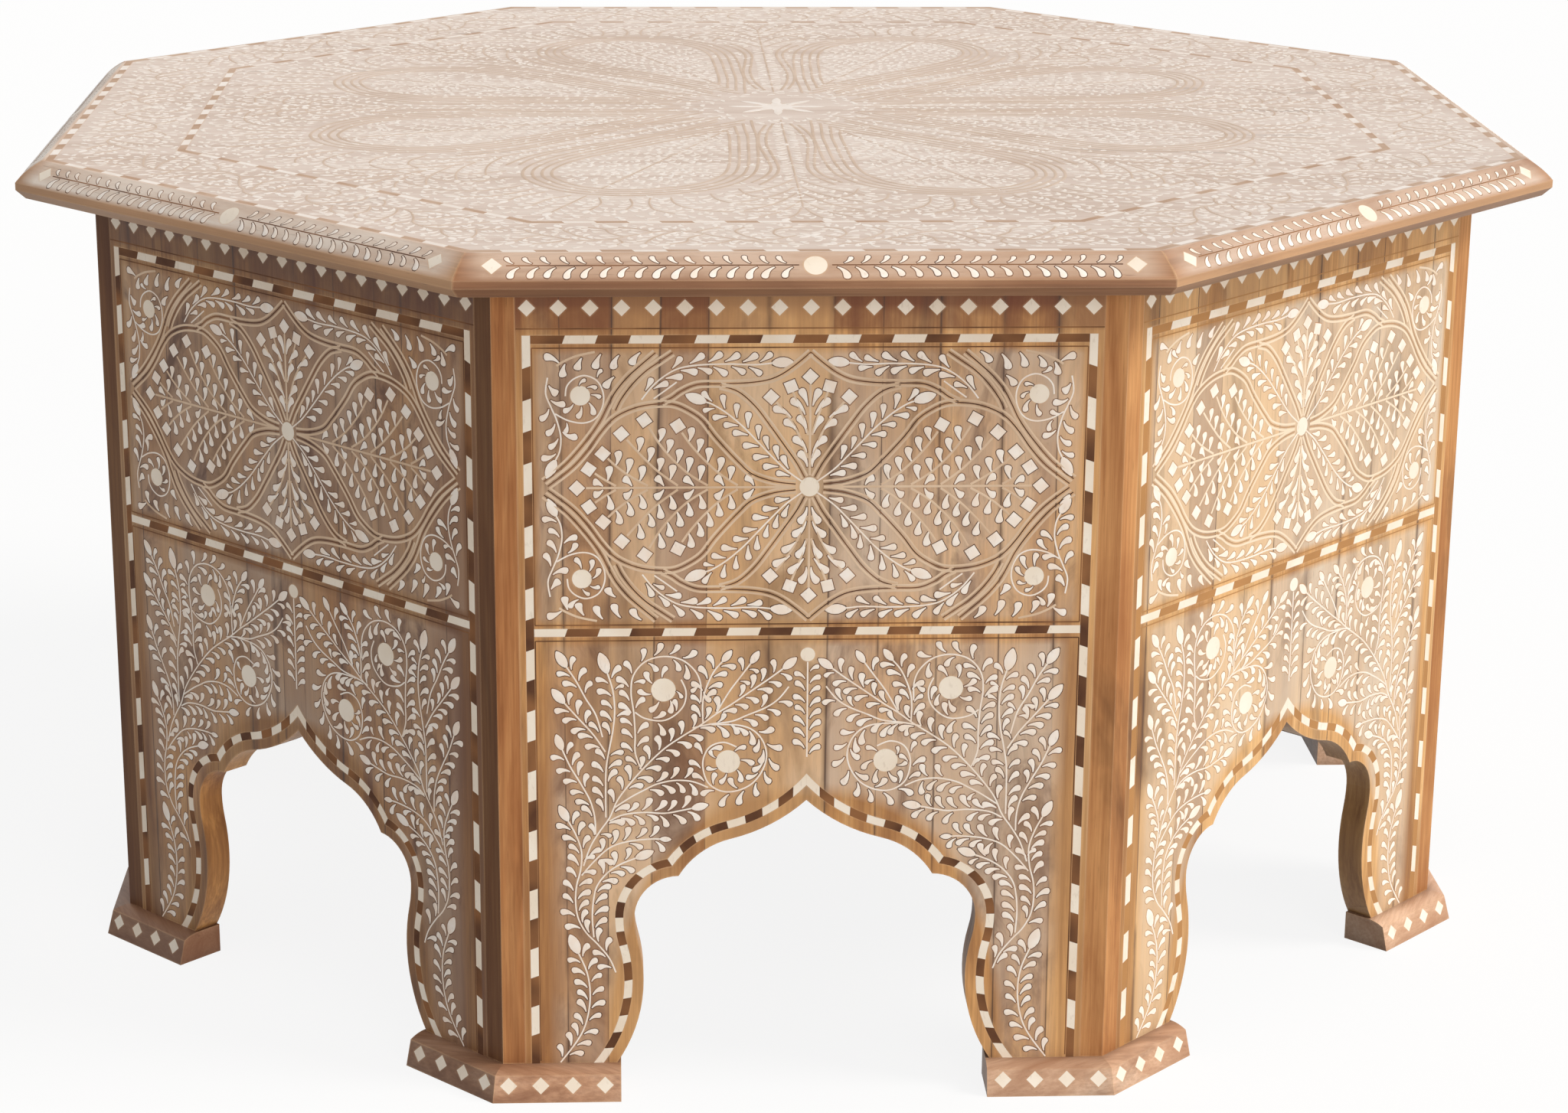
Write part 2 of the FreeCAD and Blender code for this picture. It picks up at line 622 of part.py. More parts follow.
def build():
    # Fasteners of the front side and of its right-hand corner
    panel_screws = cleat_screws()
    board_screws = top_screws()
    plinth_screws, plinth_recesses = foot_screws()
    dowel = corner_dowel()
    left_plinth_screw = mirrored_left(plinth_screws[0])

    # Case
    border_bone, border_dark, border_grooves = panel_border()
    arch_bone, arch_dark, arch_grooves = arch_strip()
    lozenges = frieze_lozenges()
    discs = panel_discs()
    panel_pockets = border_grooves + arch_grooves + lozenges + discs
    panel_pockets += panel_screws + [plinth_screws[0], left_plinth_screw]
    save_on_each_side("side_panel", side_panel(panel_pockets))
    save_on_each_side("corner_post", corner_post())
    plinth_lozenges = foot_lozenges()
    save_on_each_side("foot", corner_foot(plinth_lozenges + plinth_screws + plinth_recesses + [dowel]))
    save_on_each_side("top_cleat", top_cleat(panel_screws + board_screws))

    # Top
    outer_bone, outer_dark, outer_groove = top_strip(BOARD_APOTHEM + STRIP_WIDTH / 2)
    inner_bone, inner_dark, inner_groove = top_strip(BOARD_APOTHEM - TOP_BAND_WIDTH)
    star = top_star()
    board = regular_plate(BOARD_APOTHEM, BODY_TOP, TABLE_HEIGHT)
    board_cuts = [star] + on_each_side([inner_groove, edge_spline(GLUE_GAP)] + board_screws)
    save("top_board", [only_solid(board.cut(board_cuts))])
    blank = edge_moulding_blank()
    disc_tool, lozenge_tools = edge_tools()
    moulding_cuts = [disc_tool, edge_spline(GLUE_GAP)] + lozenge_tools
    save_on_each_side("edge_moulding", only_solid(blank.cut(moulding_cuts)))

    # Fasteners and hidden tongues
    save("cleat_screws", on_each_side(panel_screws))
    save("top_screws", on_each_side(board_screws))
    save("foot_screws", on_each_side(plinth_screws))
    save("foot_dowels", on_each_side([dowel]))
    save("edge_splines", on_each_side([edge_spline(0.0)]))

    # Inlay
    save("panel_border_bone", on_each_side(border_bone))
    save("panel_border_dark", on_each_side(border_dark))
    save("arch_border_bone", on_each_side(arch_bone))
    save("arch_border_dark", on_each_side(arch_dark))
    save("frieze_lozenges", on_each_side(lozenges))
    save("panel_discs", on_each_side(discs))
    save("foot_lozenges", on_each_side(plinth_lozenges))
    save("edge_discs", on_each_side([only_solid(blank.common(disc_tool))]))
    save("edge_lozenges", on_each_side([only_solid(blank.common(tool)) for tool in lozenge_tools]))
    save("top_border_bone", on_each_side(outer_bone + inner_bone))
    save("top_border_dark", on_each_side(outer_dark + inner_dark))
    save("top_star", [star])


build()
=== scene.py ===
import math
import random

import bmesh
import bpy
from mathutils import Euler, Matrix, Vector


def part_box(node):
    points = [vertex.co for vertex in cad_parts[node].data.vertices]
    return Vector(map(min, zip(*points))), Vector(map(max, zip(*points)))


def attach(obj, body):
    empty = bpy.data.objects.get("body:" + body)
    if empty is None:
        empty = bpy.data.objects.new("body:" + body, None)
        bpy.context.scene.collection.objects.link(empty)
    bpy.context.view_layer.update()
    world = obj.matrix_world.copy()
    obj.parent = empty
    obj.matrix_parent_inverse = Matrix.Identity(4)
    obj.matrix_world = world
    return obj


# Looks of an inlaid octagonal coffee table.
# The CAD frame brings the wood, the dashed strips, the discs and the lozenges. This script adds the vines,
# buds and outline lines of the inlay as thin solid pieces, and the materials, the light and the camera.
# Inlay is drawn flat in millimetres: (x, y) on a sheet, which a place function sets on a face of the table.

MM = 0.001
SIDES = 8
STEP = math.radians(360 / SIDES)

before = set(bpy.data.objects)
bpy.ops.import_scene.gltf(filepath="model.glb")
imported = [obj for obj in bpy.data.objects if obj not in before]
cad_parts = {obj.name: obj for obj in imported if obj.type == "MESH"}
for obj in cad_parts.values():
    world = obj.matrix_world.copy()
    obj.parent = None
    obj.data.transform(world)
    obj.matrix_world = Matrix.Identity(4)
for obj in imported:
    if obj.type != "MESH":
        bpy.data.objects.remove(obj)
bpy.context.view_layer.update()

# Sizes read from the frame, in millimetres
panel_low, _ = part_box("side_panel_1")
edge_low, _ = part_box("edge_moulding_1")
_, board_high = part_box("top_board")
BODY_APOTHEM = -panel_low.y / MM
TOP_APOTHEM = -edge_low.y / MM
TABLE_HEIGHT = board_high.z / MM

# Sizes of the edge moulding's bevel, as in the CAD model
BEVEL_RUN = 14.0
BEVEL_DROP = 11.0
BEVEL_CROWN = 0.9

# The inlay's fields on a panel
HUB_HEIGHT = 331.2
FIELD_HALF_WIDTH = 138.3
UPPER_FIELD = (259.0, 403.2)
LOWER_FIELD_TOP = 250.6
LOWER_FIELD_BOTTOM = 18.0
# Reach of the lower field's vines to the side, and the half width and height of the round shape of its arch
VINE_REACH = 134.0
ARCH_SIZE = (102.0, 165.0)
ARCH_POWER = 2.4
FRAME_LINE_HEIGHT = 413.0
FRAME_LINE_ALONG = 146.0

# Thickness of the inlay above and below the wood
INLAY_EDGE_LIFT = 0.04
INLAY_CROWN = 0.16
INLAY_DEPTH = 0.4
# Dark rim round a leaf or tile, like the rim of the recess it is set in: painted shade round the piece
BED_RIM = 0.42
BED_EDGE_LIFT = 0.012
BED_CROWN = 0.02

# Leaves, as shares of their length from the tail to the head
LEAF_STATIONS = [0.0, 0.16, 0.36, 0.55, 0.72, 0.86, 0.95, 1.0]
LEAF_PROFILE = [0.16, 0.28, 0.46, 0.72, 0.96, 1.0, 0.78, 0.28]
LEAF_WIDTH_SHARE = 0.214
BUD_PROFILE = [0.3, 0.72, 0.98, 0.98, 0.82, 0.54, 0.28, 0.05]
BUD_WIDTH_SHARE = 0.25
LEAF_START = math.radians(24)
LEAF_TURN = math.radians(62)
LEAF_OFFSET = 1.3
# Leaves that stand straight off their stem
STRAIGHT_START = math.radians(36)
STRAIGHT_TURN = math.radians(18)
FLAT_START = math.radians(20)
DROP_BEND = math.radians(46)
DROP_HALF_WIDTH = 1.95
LEAF_STAGGER = 0.18
PINWHEEL_TWIST = math.radians(-10)
# A leaf that finds no room is tried again at (share of its length, wider opening in radians)
LEAF_TRIES = [(1.0, 0.0), (0.95, 0.3), (0.95, -0.3), (0.8, 0.0), (0.72, 0.4)]
HEAD_STATION = 5
MIDDLE_STATION = 3
ROOM_CELL = 4.0
LEAF_ROOM = 2.6
STEM_WIDTH = 1.15
VINE_WIDTH = 0.8
TOP_STEM_WIDTH = 1.1
OUTLINE_WIDTH = 1.15
OUTLINE_GAP = 3.0
DARK_LINE_WIDTH = 0.6
DARK_LINE_STEP = 2.5
# How far draws go each way: shares of a length or a bend, angles in radians, places in millimetres
LENGTH_VARY = 0.08
HEADING_VARY = 0.1
TURN_VARY = 0.2
DROP_WANDER = 0.5
DROP_BENDS = (0.4, 1.4)
BUD_VARY = 0.05
BUD_BEND = 0.15
TILE_TILT = 0.08
LEAF_WANDER = 0.4
# Leaves get shorter towards a stem's tip. Their heads keep clear of others, and their middles are narrower
TIP_SHRINK = 0.08
HEAD_CLEAR = 0.3
MIDDLE_SHARE = 0.7
TINY = 1e-6


# Flat geometry


def smooth(points, steps=6):
    """A smooth path through the points."""
    path = []
    for i in range(len(points) - 1):
        before = points[max(i - 1, 0)]
        here = points[i]
        there = points[i + 1]
        after = points[min(i + 2, len(points) - 1)]
        for step in range(steps):
            t = step / steps
            path.append(tuple(spline(before[k], here[k], there[k], after[k], t) for k in range(2)))
    path.append(tuple(points[-1]))
    return path


def spline(before, here, there, after, t):
    """A value between here and there on a curve that also leans towards its neighbours."""
    linear = there - before
    square = 2 * before - 5 * here + 4 * there - after
    cube = 3 * here - before - 3 * there + after
    return here + 0.5 * t * (linear + t * (square + t * cube))


def between(first, second, share):
    """A point or colour part of the way from one to another."""
    return tuple(a + (b - a) * share for a, b in zip(first, second))


def heading_to(start, end):
    return math.atan2(end[1] - start[1], end[0] - start[0])


def away(point, heading, distance):
    """A point at a distance from another in a direction."""
    return point[0] + distance * math.cos(heading), point[1] + distance * math.sin(heading)


def running_lengths(path):
    lengths = [0.0]
    for a, b in zip(path, path[1:]):
        lengths.append(lengths[-1] + math.dist(a, b))
    return lengths


def at_distance(path, lengths, distance):
    """The point of a path at a distance from its start, and the path's heading there."""
    i = 0
    while i < len(path) - 2 and lengths[i + 1] < distance:
        i += 1
    a, b = path[i], path[i + 1]
    share = (distance - lengths[i]) / max(lengths[i + 1] - lengths[i], TINY)
    return between(a, b, share), heading_to(a, b)


def normals(path):
    """The left-hand unit normal at each point of a path."""
    found = []
    for i in range(len(path)):
        a = path[max(i - 1, 0)]
        b = path[min(i + 1, len(path) - 1)]
        length = max(math.dist(a, b), TINY)
        found.append(((a[1] - b[1]) / length, (b[0] - a[0]) / length))
    return found


def shifted(path, offset):
    """A path moved sideways, to its left for a positive offset."""
    return [(x + nx * offset, y + ny * offset) for (x, y), (nx, ny) in zip(path, normals(path))]


def stepped(start, end):
    """Points on a straight line, in steps short enough to keep leaves off it."""
    count = math.ceil(math.dist(start, end) / DARK_LINE_STEP)
    return [between(start, end, i / count) for i in range(count + 1)]


class Sheet:
    """Thin closed pieces that lie in one surface and make one mesh."""

    def __init__(self):
        self.vertices = []
        self.faces = []

    def add_rings(self, rings):
        """Closes a row of rings of points into one solid piece."""
        start = len(self.vertices)
        count = len(rings[0])
        for ring in rings:
            self.vertices.extend(ring)
        for i in range(len(rings) - 1):
            a = start + i * count
            b = a + count
            for j in range(count):
                k = (j + 1) % count
                self.faces.append((a + j, a + k, b + k, b + j))
        last = start + (len(rings) - 1) * count
        self.faces.append(tuple(range(start + count - 1, start - 1, -1)))
        self.faces.append(tuple(range(last, last + count)))


class Sectors:
    """Sheets for the sides of the table. A piece goes to the sheet of the side that it starts nearest to."""

    def __init__(self):
        self.sheets = [Sheet() for _ in range(SIDES)]

    def add_rings(self, rings):
        x, y, _ = rings[0][0]
        side = round(math.atan2(x, -y) / STEP) % SIDES
        self.sheets[side].add_rings(rings)


class Pen:
    """Draws inlay on one surface. Its frame mirrors, turns and moves what is drawn.

    Stems and tiles are drawn at once. Leaves wait until grow, which leaves out those without room."""

    def __init__(self, place, seed, with_shade_beds=True, stem=VINE_WIDTH, sheet=Sheet):
        self.place = place
        self.with_shade_beds = with_shade_beds
        self.stem = stem
        self.random = random.Random(seed)
        self.bed_and_shade = Sheet()
        self.bone = sheet()
        self.line = sheet()
        self.dark = Sheet()
        self.waiting = []
        self.taken = {}
        self.set_frame()

    def vary(self, spread, middle=0.0):
        """A value drawn from a spread on both sides of a middle one."""
        return self.random.uniform(middle - spread, middle + spread)

    def set_frame(self, flip_x=1, flip_y=1, turn=0.0, origin=(0.0, 0.0)):
        self.frame = (flip_x, flip_y, math.cos(turn), math.sin(turn), origin)

    def on_sheet(self, x, y):
        flip_x, flip_y, cosine, sine, origin = self.frame
        x *= flip_x
        y *= flip_y
        return origin[0] + x * cosine - y * sine, origin[1] + x * sine + y * cosine

    def put(self, x, y, lift):
        return self.place(*self.on_sheet(x, y), lift)

    def claim(self, point, radius):
        """Keeps leaves away from a round spot."""
        x, y = self.on_sheet(*point)
        reach = math.ceil((radius + LEAF_ROOM) / ROOM_CELL)
        column = math.floor(x / ROOM_CELL)
        row = math.floor(y / ROOM_CELL)
        for i in range(column - reach, column + reach + 1):
            for j in range(row - reach, row + reach + 1):
                self.taken.setdefault((i, j), []).append((x, y, radius))

    def has_room(self, point, radius):
        x, y = self.on_sheet(*point)
        cell = (math.floor(x / ROOM_CELL), math.floor(y / ROOM_CELL))
        return all(math.hypot(x - a, y - b) > r + radius for a, b, r in self.taken.get(cell, ()))

    def strip(self, sheet, path, half_widths, edge=INLAY_EDGE_LIFT, crown=INLAY_CROWN):
        """A crowned strip along a path."""
        rings = []
        for (x, y), (nx, ny), half in zip(path, normals(path), half_widths):
            section = [
                (-half, -INLAY_DEPTH),
                (-half, edge),
                (0.0, edge + (crown - edge) * min(1.0, half)),
                (half, edge),
                (half, -INLAY_DEPTH),
            ]
            rings.append([self.put(x + nx * across, y + ny * across, lift) for across, lift in section])
        sheet.add_rings(rings)

    def piece(self, path, half_widths):
        """A leaf, bud or tile, in a bed with a dark rim that paints the shade round it."""
        self.strip(self.bone, path, half_widths)
        if self.with_shade_beds:
            first = away(path[0], heading_to(path[1], path[0]), BED_RIM)
            last = away(path[-1], heading_to(path[-2], path[-1]), BED_RIM)
            widths = [half + BED_RIM for half in half_widths]
            self.strip(self.bed_and_shade, [first, *path[1:-1], last], widths, BED_EDGE_LIFT, BED_CROWN)

    def line_along(self, path, width, sheet=None):
        self.strip(sheet or self.line, path, [width / 2] * len(path))
        for point in path:
            self.claim(point, width / 2)

    def spine(self, base, heading, length, turn):
        """The middle line of a piece that grows from a base along a heading that turns on the way."""
        points = [base]
        for before, after in zip(LEAF_STATIONS, LEAF_STATIONS[1:]):
            angle = heading + turn * (before + after) / 2
            points.append(away(points[-1], angle, length * (after - before)))
        return points

    def leaf(self, base, heading, side, length, start=LEAF_START, turn=LEAF_TURN):
        """Asks for a leaf on the left (1) or right (-1) of a stem with this heading.

        start is its angle to the stem, and turn how far it bends away on its length."""
        tail = away(base, heading + math.pi / 2, side * LEAF_OFFSET)
        self.waiting.append((self.frame, tail, heading + side * start, side * turn, length, side))

    def grow(self):
        """Draws the leaves that have been asked for, where there is room."""
        for frame_then, base, heading, turn, length, side in self.waiting:
            self.frame = frame_then
            for shrink, wider in LEAF_TRIES:
                size = length * shrink * self.vary(LENGTH_VARY, 1.0)
                opened = heading + side * wider + self.vary(HEADING_VARY)
                spine = self.spine(base, opened, size, turn * self.vary(TURN_VARY, 1.0))
                half = size * LEAF_WIDTH_SHARE
                head_free = self.has_room(spine[HEAD_STATION], half + HEAD_CLEAR)
                if head_free and self.has_room(spine[MIDDLE_STATION], half * MIDDLE_SHARE):
                    self.draw_leaf(spine, half)
                    break
        self.waiting = []

    def draw_leaf(self, spine, half):
        self.piece(spine, [share * half for share in LEAF_PROFILE])
        self.claim(spine[HEAD_STATION], half)
        self.claim(spine[MIDDLE_STATION], half * MIDDLE_SHARE)

    def drop(self, tail, head):
        """A leaf between two given points."""
        end = [value + self.vary(DROP_WANDER) for value in head]
        heading = heading_to(tail, end)
        bend = -DROP_BEND * self.random.uniform(*DROP_BENDS)
        length = math.dist(tail, end)
        self.draw_leaf(self.spine(tail, heading - bend / 2, length, bend), DROP_HALF_WIDTH)

    def bud(self, base, heading, length, width_share=BUD_WIDTH_SHARE):
        length *= self.vary(BUD_VARY, 1.0)
        spine = self.spine(base, heading, length, self.vary(BUD_BEND))
        half = length * width_share
        self.piece(spine, [share * half for share in BUD_PROFILE])
        for station in (1, MIDDLE_STATION, HEAD_STATION):
            self.claim(spine[station], half * BUD_PROFILE[station])

    def pinwheel(self, centre, disc, length, count):
        """A disc's place, kept free, and leaves that turn round it."""
        self.claim(centre, disc)
        start = self.random.random()
        for i in range(count):
            angle = math.tau * (i + start) / count
            self.leaf(away(centre, angle, disc), angle + PINWHEEL_TWIST, 1, length)

    def tile(self, middle, heading, size):
        """A small square with two sides along the heading."""
        heading += self.vary(TILE_TILT)
        self.piece([away(middle, heading, way * size / 2) for way in (-1, 1)], [size / 2] * 2)
        self.claim(middle, size / 2)

    def vine(self, points, bud=0.0, **leaves):
        """A stem with leaves, and a bud at its end if it has a length."""
        path = smooth(points)
        self.line_along(path, self.stem, self.bone if self.with_shade_beds else self.line)
        self.leaves_along(path, **leaves)
        if bud:
            lengths = running_lengths(path)
            point, heading = at_distance(path, lengths, lengths[-1])
            self.bud(point, heading, bud)

    def leaves_along(self, path, leaf=8.1, gap=7.0, bare=1.0, tip=0.5, sides=(1, -1), **shape):
        """Leaves on the given sides of a path, but for a bare length at its start and its tip."""
        lengths = running_lengths(path)
        leafy = lengths[-1] - bare - tip
        count = max(1, round(leafy / gap))
        for i in range(count):
            for side in sides:
                share = (i + 0.5 + LEAF_STAGGER * side) / count
                distance = bare + leafy * share + self.vary(LEAF_WANDER)
                point, heading = at_distance(path, lengths, distance)
                self.leaf(point, heading, side, leaf * (1.0 - TIP_SHRINK * share), **shape)

    def outline(self, points):
        """Two light lines with a dark one between them."""
        path = smooth(points)
        for offset in (-OUTLINE_GAP / 2, OUTLINE_GAP / 2):
            self.line_along(shifted(path, offset), OUTLINE_WIDTH)
        self.line_along(path, DARK_LINE_WIDTH, self.bed_and_shade)


# The upper field of a panel, one quarter from the hub: x to the side, y up

OUTLINES = [
    # Medallion
    [(7, 1.5), (18, 3), (29, 7), (36, 13.5), (42, 20), (48, 27), (54, 35), (61, 40), (68, 43), (76, 43.3),
     (85, 42), (93, 39), (99, 35), (105, 28), (111, 19.5), (119, 10.5), (131, 1)],
    # Corner edges
    [(133, 3.5), (122, 12.5), (112, 24), (105, 34), (101, 42), (97, 49.5), (91, 57), (84, 63.5),
     (77, 69.5)],
    [(97, 40), (94, 46), (88.5, 53.5), (82, 60), (75, 65), (68.5, 69.5)],
    # Cartouche
    [(0, 69.5), (7, 63.5), (14, 58.5), (21, 55.5), (31, 54), (44, 53.5), (56, 53.2), (64, 50), (69, 46.5),
     (74, 44)],
    # Edge of the fan
    [(2.5, 5), (6.5, 12.5), (13, 22), (20, 32), (27.5, 42), (36, 49.5), (45, 52.5)],
]
SPRAY = [(4, 3), (12, 9), (19, 16), (26, 23.5), (33, 31), (41, 38), (48, 42.6), (52, 44.2)]
# Leaves given as (tail, head)
FERN = [(0, 6), (0, 53)]
FERN_END = (0, 57)
FERN_LEAVES = [
    ((1.2, 10.5), (5.6, 18.8)), ((1.6, 18), (9, 26)), ((1.8, 28), (6.4, 37)), ((6.2, 28.5), (14, 34)),
    ((2.6, 37.5), (10.6, 45)), ((9.5, 36), (18.6, 41)), ((1.2, 42), (4.8, 51)),
]
FAN_RAYS = [
    ([(1, 27), (4, 37), (7.5, 46), (8.8, 49.5)], (9.6, 52)),
    ([(1.2, 15), (6, 28), (12, 38), (17, 44)], (19.5, 46.6)),
]
AXIS = [(8, 0), (112, 0)]
AXIS_END = (116.5, 0)
MEDALLION_BRANCHES = [
    ([(36, 1), (45, 7), (53, 14.5), (59.5, 22), (64, 28.5)], (66, 32)),
    ([(51, 1), (60.5, 7), (68.5, 14.5), (75, 22.5), (80.5, 31.5)], (82.7, 35)),
    ([(66, 1), (76, 8.5), (84.5, 17), (91.5, 25)], (94.2, 28)),
    ([(81, 1), (89.5, 5.8), (96.5, 11), (101, 15.3)], (103.5, 17.8)),
    ([(97, 1), (103, 4.5), (107.5, 7.6)], (110.6, 9.8)),
]
# Leaves of a branch: from a start, in steps, each from its tail on the branch to its head
BRANCH_LEAF_START = 5.0
BRANCH_LEAF_STEP = 7.2
BRANCH_LEAF_END = 3.4
BRANCH_LEAF = (-1.3, 7.8)
# Leaves beside the axis, one before each branch: the places of tail and head from the branch's start
AXIS_LEAF = [(-8.0, 0.9), (-3.4, 5.4)]
AXIS_LAST_LEAF = ((103.4, 0.9), (108.2, 3.8))
EDGE_VINE = [(84, 45.5), (78.5, 52.5), (72, 58), (65, 61.6), (55, 63.2), (40, 63.6), (28, 63.2), (19, 64)]
EDGE_TWIG = [(78, 46), (72.5, 50), (66.5, 54.5)]
TIP_VINE = [(130.5, 57), (131.5, 49), (129, 42), (126.3, 35.5), (124.3, 27), (124.8, 19.5), (127, 14.5)]
CORNER_RUNNER = [(107, 70), (116, 68), (122.5, 65.2), (126, 63)]
CORNER_LEAVES = [
    ((121.7, 64), (123.2, 57)), ((113.5, 67), (116.4, 60.6)), ((104, 69), (107, 61.3)),
    ((95, 68.3), (98.3, 60.5)), ((84.5, 69.6), (89, 63.6)), ((124.8, 64.5), (132, 67.5)),
    ((130, 53), (126, 48.3)), ((97.5, 57.3), (101.8, 52)),
]
CORNER_SPIRAL = [
    (127, 38.5), (120.5, 35), (113, 33.7), (107, 36), (103.4, 42), (103, 49), (106, 55.3), (112, 58),
    (117.5, 56.3), (121, 52.5), (121.8, 47.5),
]
TILE = 5.9
PINWHEEL_LEAF = 7.0
HUB = (0, 0)
HUB_RADIUS = 5.0
CORNER_DISC = (114.4, 47.6)
CORNER_DISC_RADIUS = 5.0


def end_tile(pen, points, end):
    """A square at the end of a branch, turned to the branch's heading."""
    pen.tile(end, heading_to(points[-1], end), TILE)


def medallion_leaves(pen, points):
    """Leaves that stand up from a branch, and one beside the axis before it."""
    axis_x = points[0][0]
    pen.drop(*[(axis_x + x, y) for x, y in AXIS_LEAF])
    path = smooth(points)
    lengths = running_lengths(path)
    distance = BRANCH_LEAF_START
    while distance < lengths[-1] - BRANCH_LEAF_END:
        tail, _ = at_distance(path, lengths, distance)
        pen.drop(tail, (tail[0] + BRANCH_LEAF[0], tail[1] + BRANCH_LEAF[1]))
        distance += BRANCH_LEAF_STEP


def upper_field(pen):
    pen.set_frame(origin=(0, HUB_HEIGHT))
    pen.claim(HUB, HUB_RADIUS)
    for way in (1, -1):
        pen.set_frame(flip_x=way, origin=(0, HUB_HEIGHT))
        pen.tile(AXIS_END, math.radians(45), TILE)
        pen.line_along(smooth(AXIS), STEM_WIDTH)
    for up in (1, -1):
        pen.set_frame(flip_y=up, origin=(0, HUB_HEIGHT))
        pen.tile(FERN_END, math.radians(45), TILE)
        pen.line_along(smooth(FERN), STEM_WIDTH)
        for way in (1, -1):
            pen.set_frame(flip_x=way, flip_y=up, origin=(0, HUB_HEIGHT))
            upper_quarter(pen)


def upper_quarter(pen):
    for points in OUTLINES:
        pen.outline(points)
    for points, end in FAN_RAYS + MEDALLION_BRANCHES:
        pen.line_along(smooth(points), STEM_WIDTH)
        end_tile(pen, points, end)
    for tail, head in FERN_LEAVES + CORNER_LEAVES + [AXIS_LAST_LEAF]:
        pen.drop(tail, head)
    for points, _ in MEDALLION_BRANCHES:
        medallion_leaves(pen, points)
    pen.vine(SPRAY, bud=11, gap=7.8, bare=4, start=STRAIGHT_START, turn=STRAIGHT_TURN)
    pen.vine(EDGE_VINE, bud=10.5, leaf=8.3, gap=8.9, bare=2, start=FLAT_START, turn=STRAIGHT_TURN)
    pen.vine(EDGE_TWIG, leaf=7.5, gap=7, start=STRAIGHT_START, turn=STRAIGHT_TURN)
    pen.vine(TIP_VINE, bud=10.5, gap=8.6, bare=10)
    pen.vine(CORNER_SPIRAL, leaf=7.6, gap=9.0, sides=(1,))
    pen.line_along(smooth(CORNER_RUNNER), STEM_WIDTH)
    pen.pinwheel(CORNER_DISC, CORNER_DISC_RADIUS, PINWHEEL_LEAF, count=8)


# The lower field of a panel, one half: x from the middle line, y up from the floor

LOWER_VINES = [
    # Up the leg, and on past the arch's lower lobe
    ([(128, 17), (120, 28), (115.3, 37), (112.7, 48), (112.3, 59), (114, 69), (118, 79)], 12),
    ([(98.7, 68), (102, 76), (108, 84), (114, 90.7), (118, 98.7), (119.3, 108), (118.7, 117),
      (116.5, 126), (116, 136), (118.7, 145), (122.7, 153)], 10),
    ([(110, 88), (110.7, 98.7), (110, 109), (108, 117), (102.7, 124), (96, 128.7), (88, 132)], 10),
    ([(116, 122.7), (109.3, 130.7), (101.3, 138), (92, 141.3), (81.3, 142.5), (75.5, 142.5)], 6),
    # The trunk to the sprig's top, and what grows from it
    ([(115, 128), (111.3, 138.7), (106.7, 146.7), (101.3, 154.7), (97.3, 164), (90.7, 173.3),
      (82.7, 182.7), (73.3, 192), (64, 198.7), (54.7, 204.7), (46.7, 210.7), (38.7, 216), (29.3, 222.7),
      (20, 229.3), (12.5, 235)], 9),
    ([(58.7, 203.3), (49.3, 205.3), (38.7, 206.7), (30.7, 210), (21.3, 214), (14.7, 218.7),
      (9.5, 225.3)], 0),
    ([(53.3, 206), (53.5, 216), (52, 224), (48, 233.3), (43.5, 239)], 8),
    ([(46.7, 211), (40, 222.7), (33.3, 232), (29, 238)], 8),
    # Round the inner disc
    ([(49, 205), (36, 204.7), (28, 202), (22.7, 196), (20.7, 188), (22.7, 180), (28, 172.7), (36, 168.7),
      (44, 168.7), (50.7, 173.3), (53.3, 181.3), (52.7, 188), (49.3, 193.3), (42.7, 195.3),
      (36, 192.7)], 0),
    # Round the outer disc
    ([(85, 181), (88, 190), (88, 200), (88.7, 212), (90, 222.7), (88.7, 232), (82.7, 239.3), (73.3, 242),
      (64, 240), (57.3, 234), (54.5, 226.7), (54.5, 217.3)], 0),
    ([(88, 212), (83, 208.7), (74.7, 207.3), (68.5, 209.7), (63.2, 215.5), (62, 223), (64.5, 229.5)], 0),
    # Towards the middle, under the discs
    ([(101.3, 152.7), (94.7, 156), (84, 157.3), (73.3, 156.7), (65.3, 158), (59, 159.3)], 9),
    ([(99, 160), (90, 166), (84, 169.3), (77.3, 172.7), (68, 174.7), (58.7, 174), (50.7, 170.7)], 0),
    # Up the outer side
    ([(103.3, 154.7), (103.3, 168), (103, 181.3), (101.3, 192), (99.3, 202.7), (98.4, 213.3), (99.3, 224),
      (102, 233.3)], 12),
    ([(108.7, 145.3), (109, 154.7), (111.3, 164), (116, 173.3), (121.3, 182.7), (125.3, 192)], 9),
    ([(103.3, 190.7), (109.3, 200), (116.7, 208.7), (124, 217.3)], 10),
    ([(104.7, 198.7), (108, 210.7), (113.3, 220), (118, 229.3), (122.7, 236.7)], 10),
]
SPRIG = [(0, 187), (0, 238.5)]
SPRIG_DISC = (0, 242.5)
SPRIG_DISC_RADIUS = 3.8
OUTER_DISC = (73.5, 224)
INNER_DISC = (40.5, 184.8)
VINE_DISC_RADIUS = 6.3
# Outer edge of the strip round the arch, and how far leaves keep clear of it
ARCH_CLEAR = 1.0
ARCH_EDGE = [
    (0, 178), (22.7, 159.3), (41.1, 152), (60.4, 142.8), (71.8, 131.1), (89.1, 122), (98.8, 98.7),
    (97, 82.6), (94.1, 63.2), (97.8, 40), (110.4, 16.5),
]


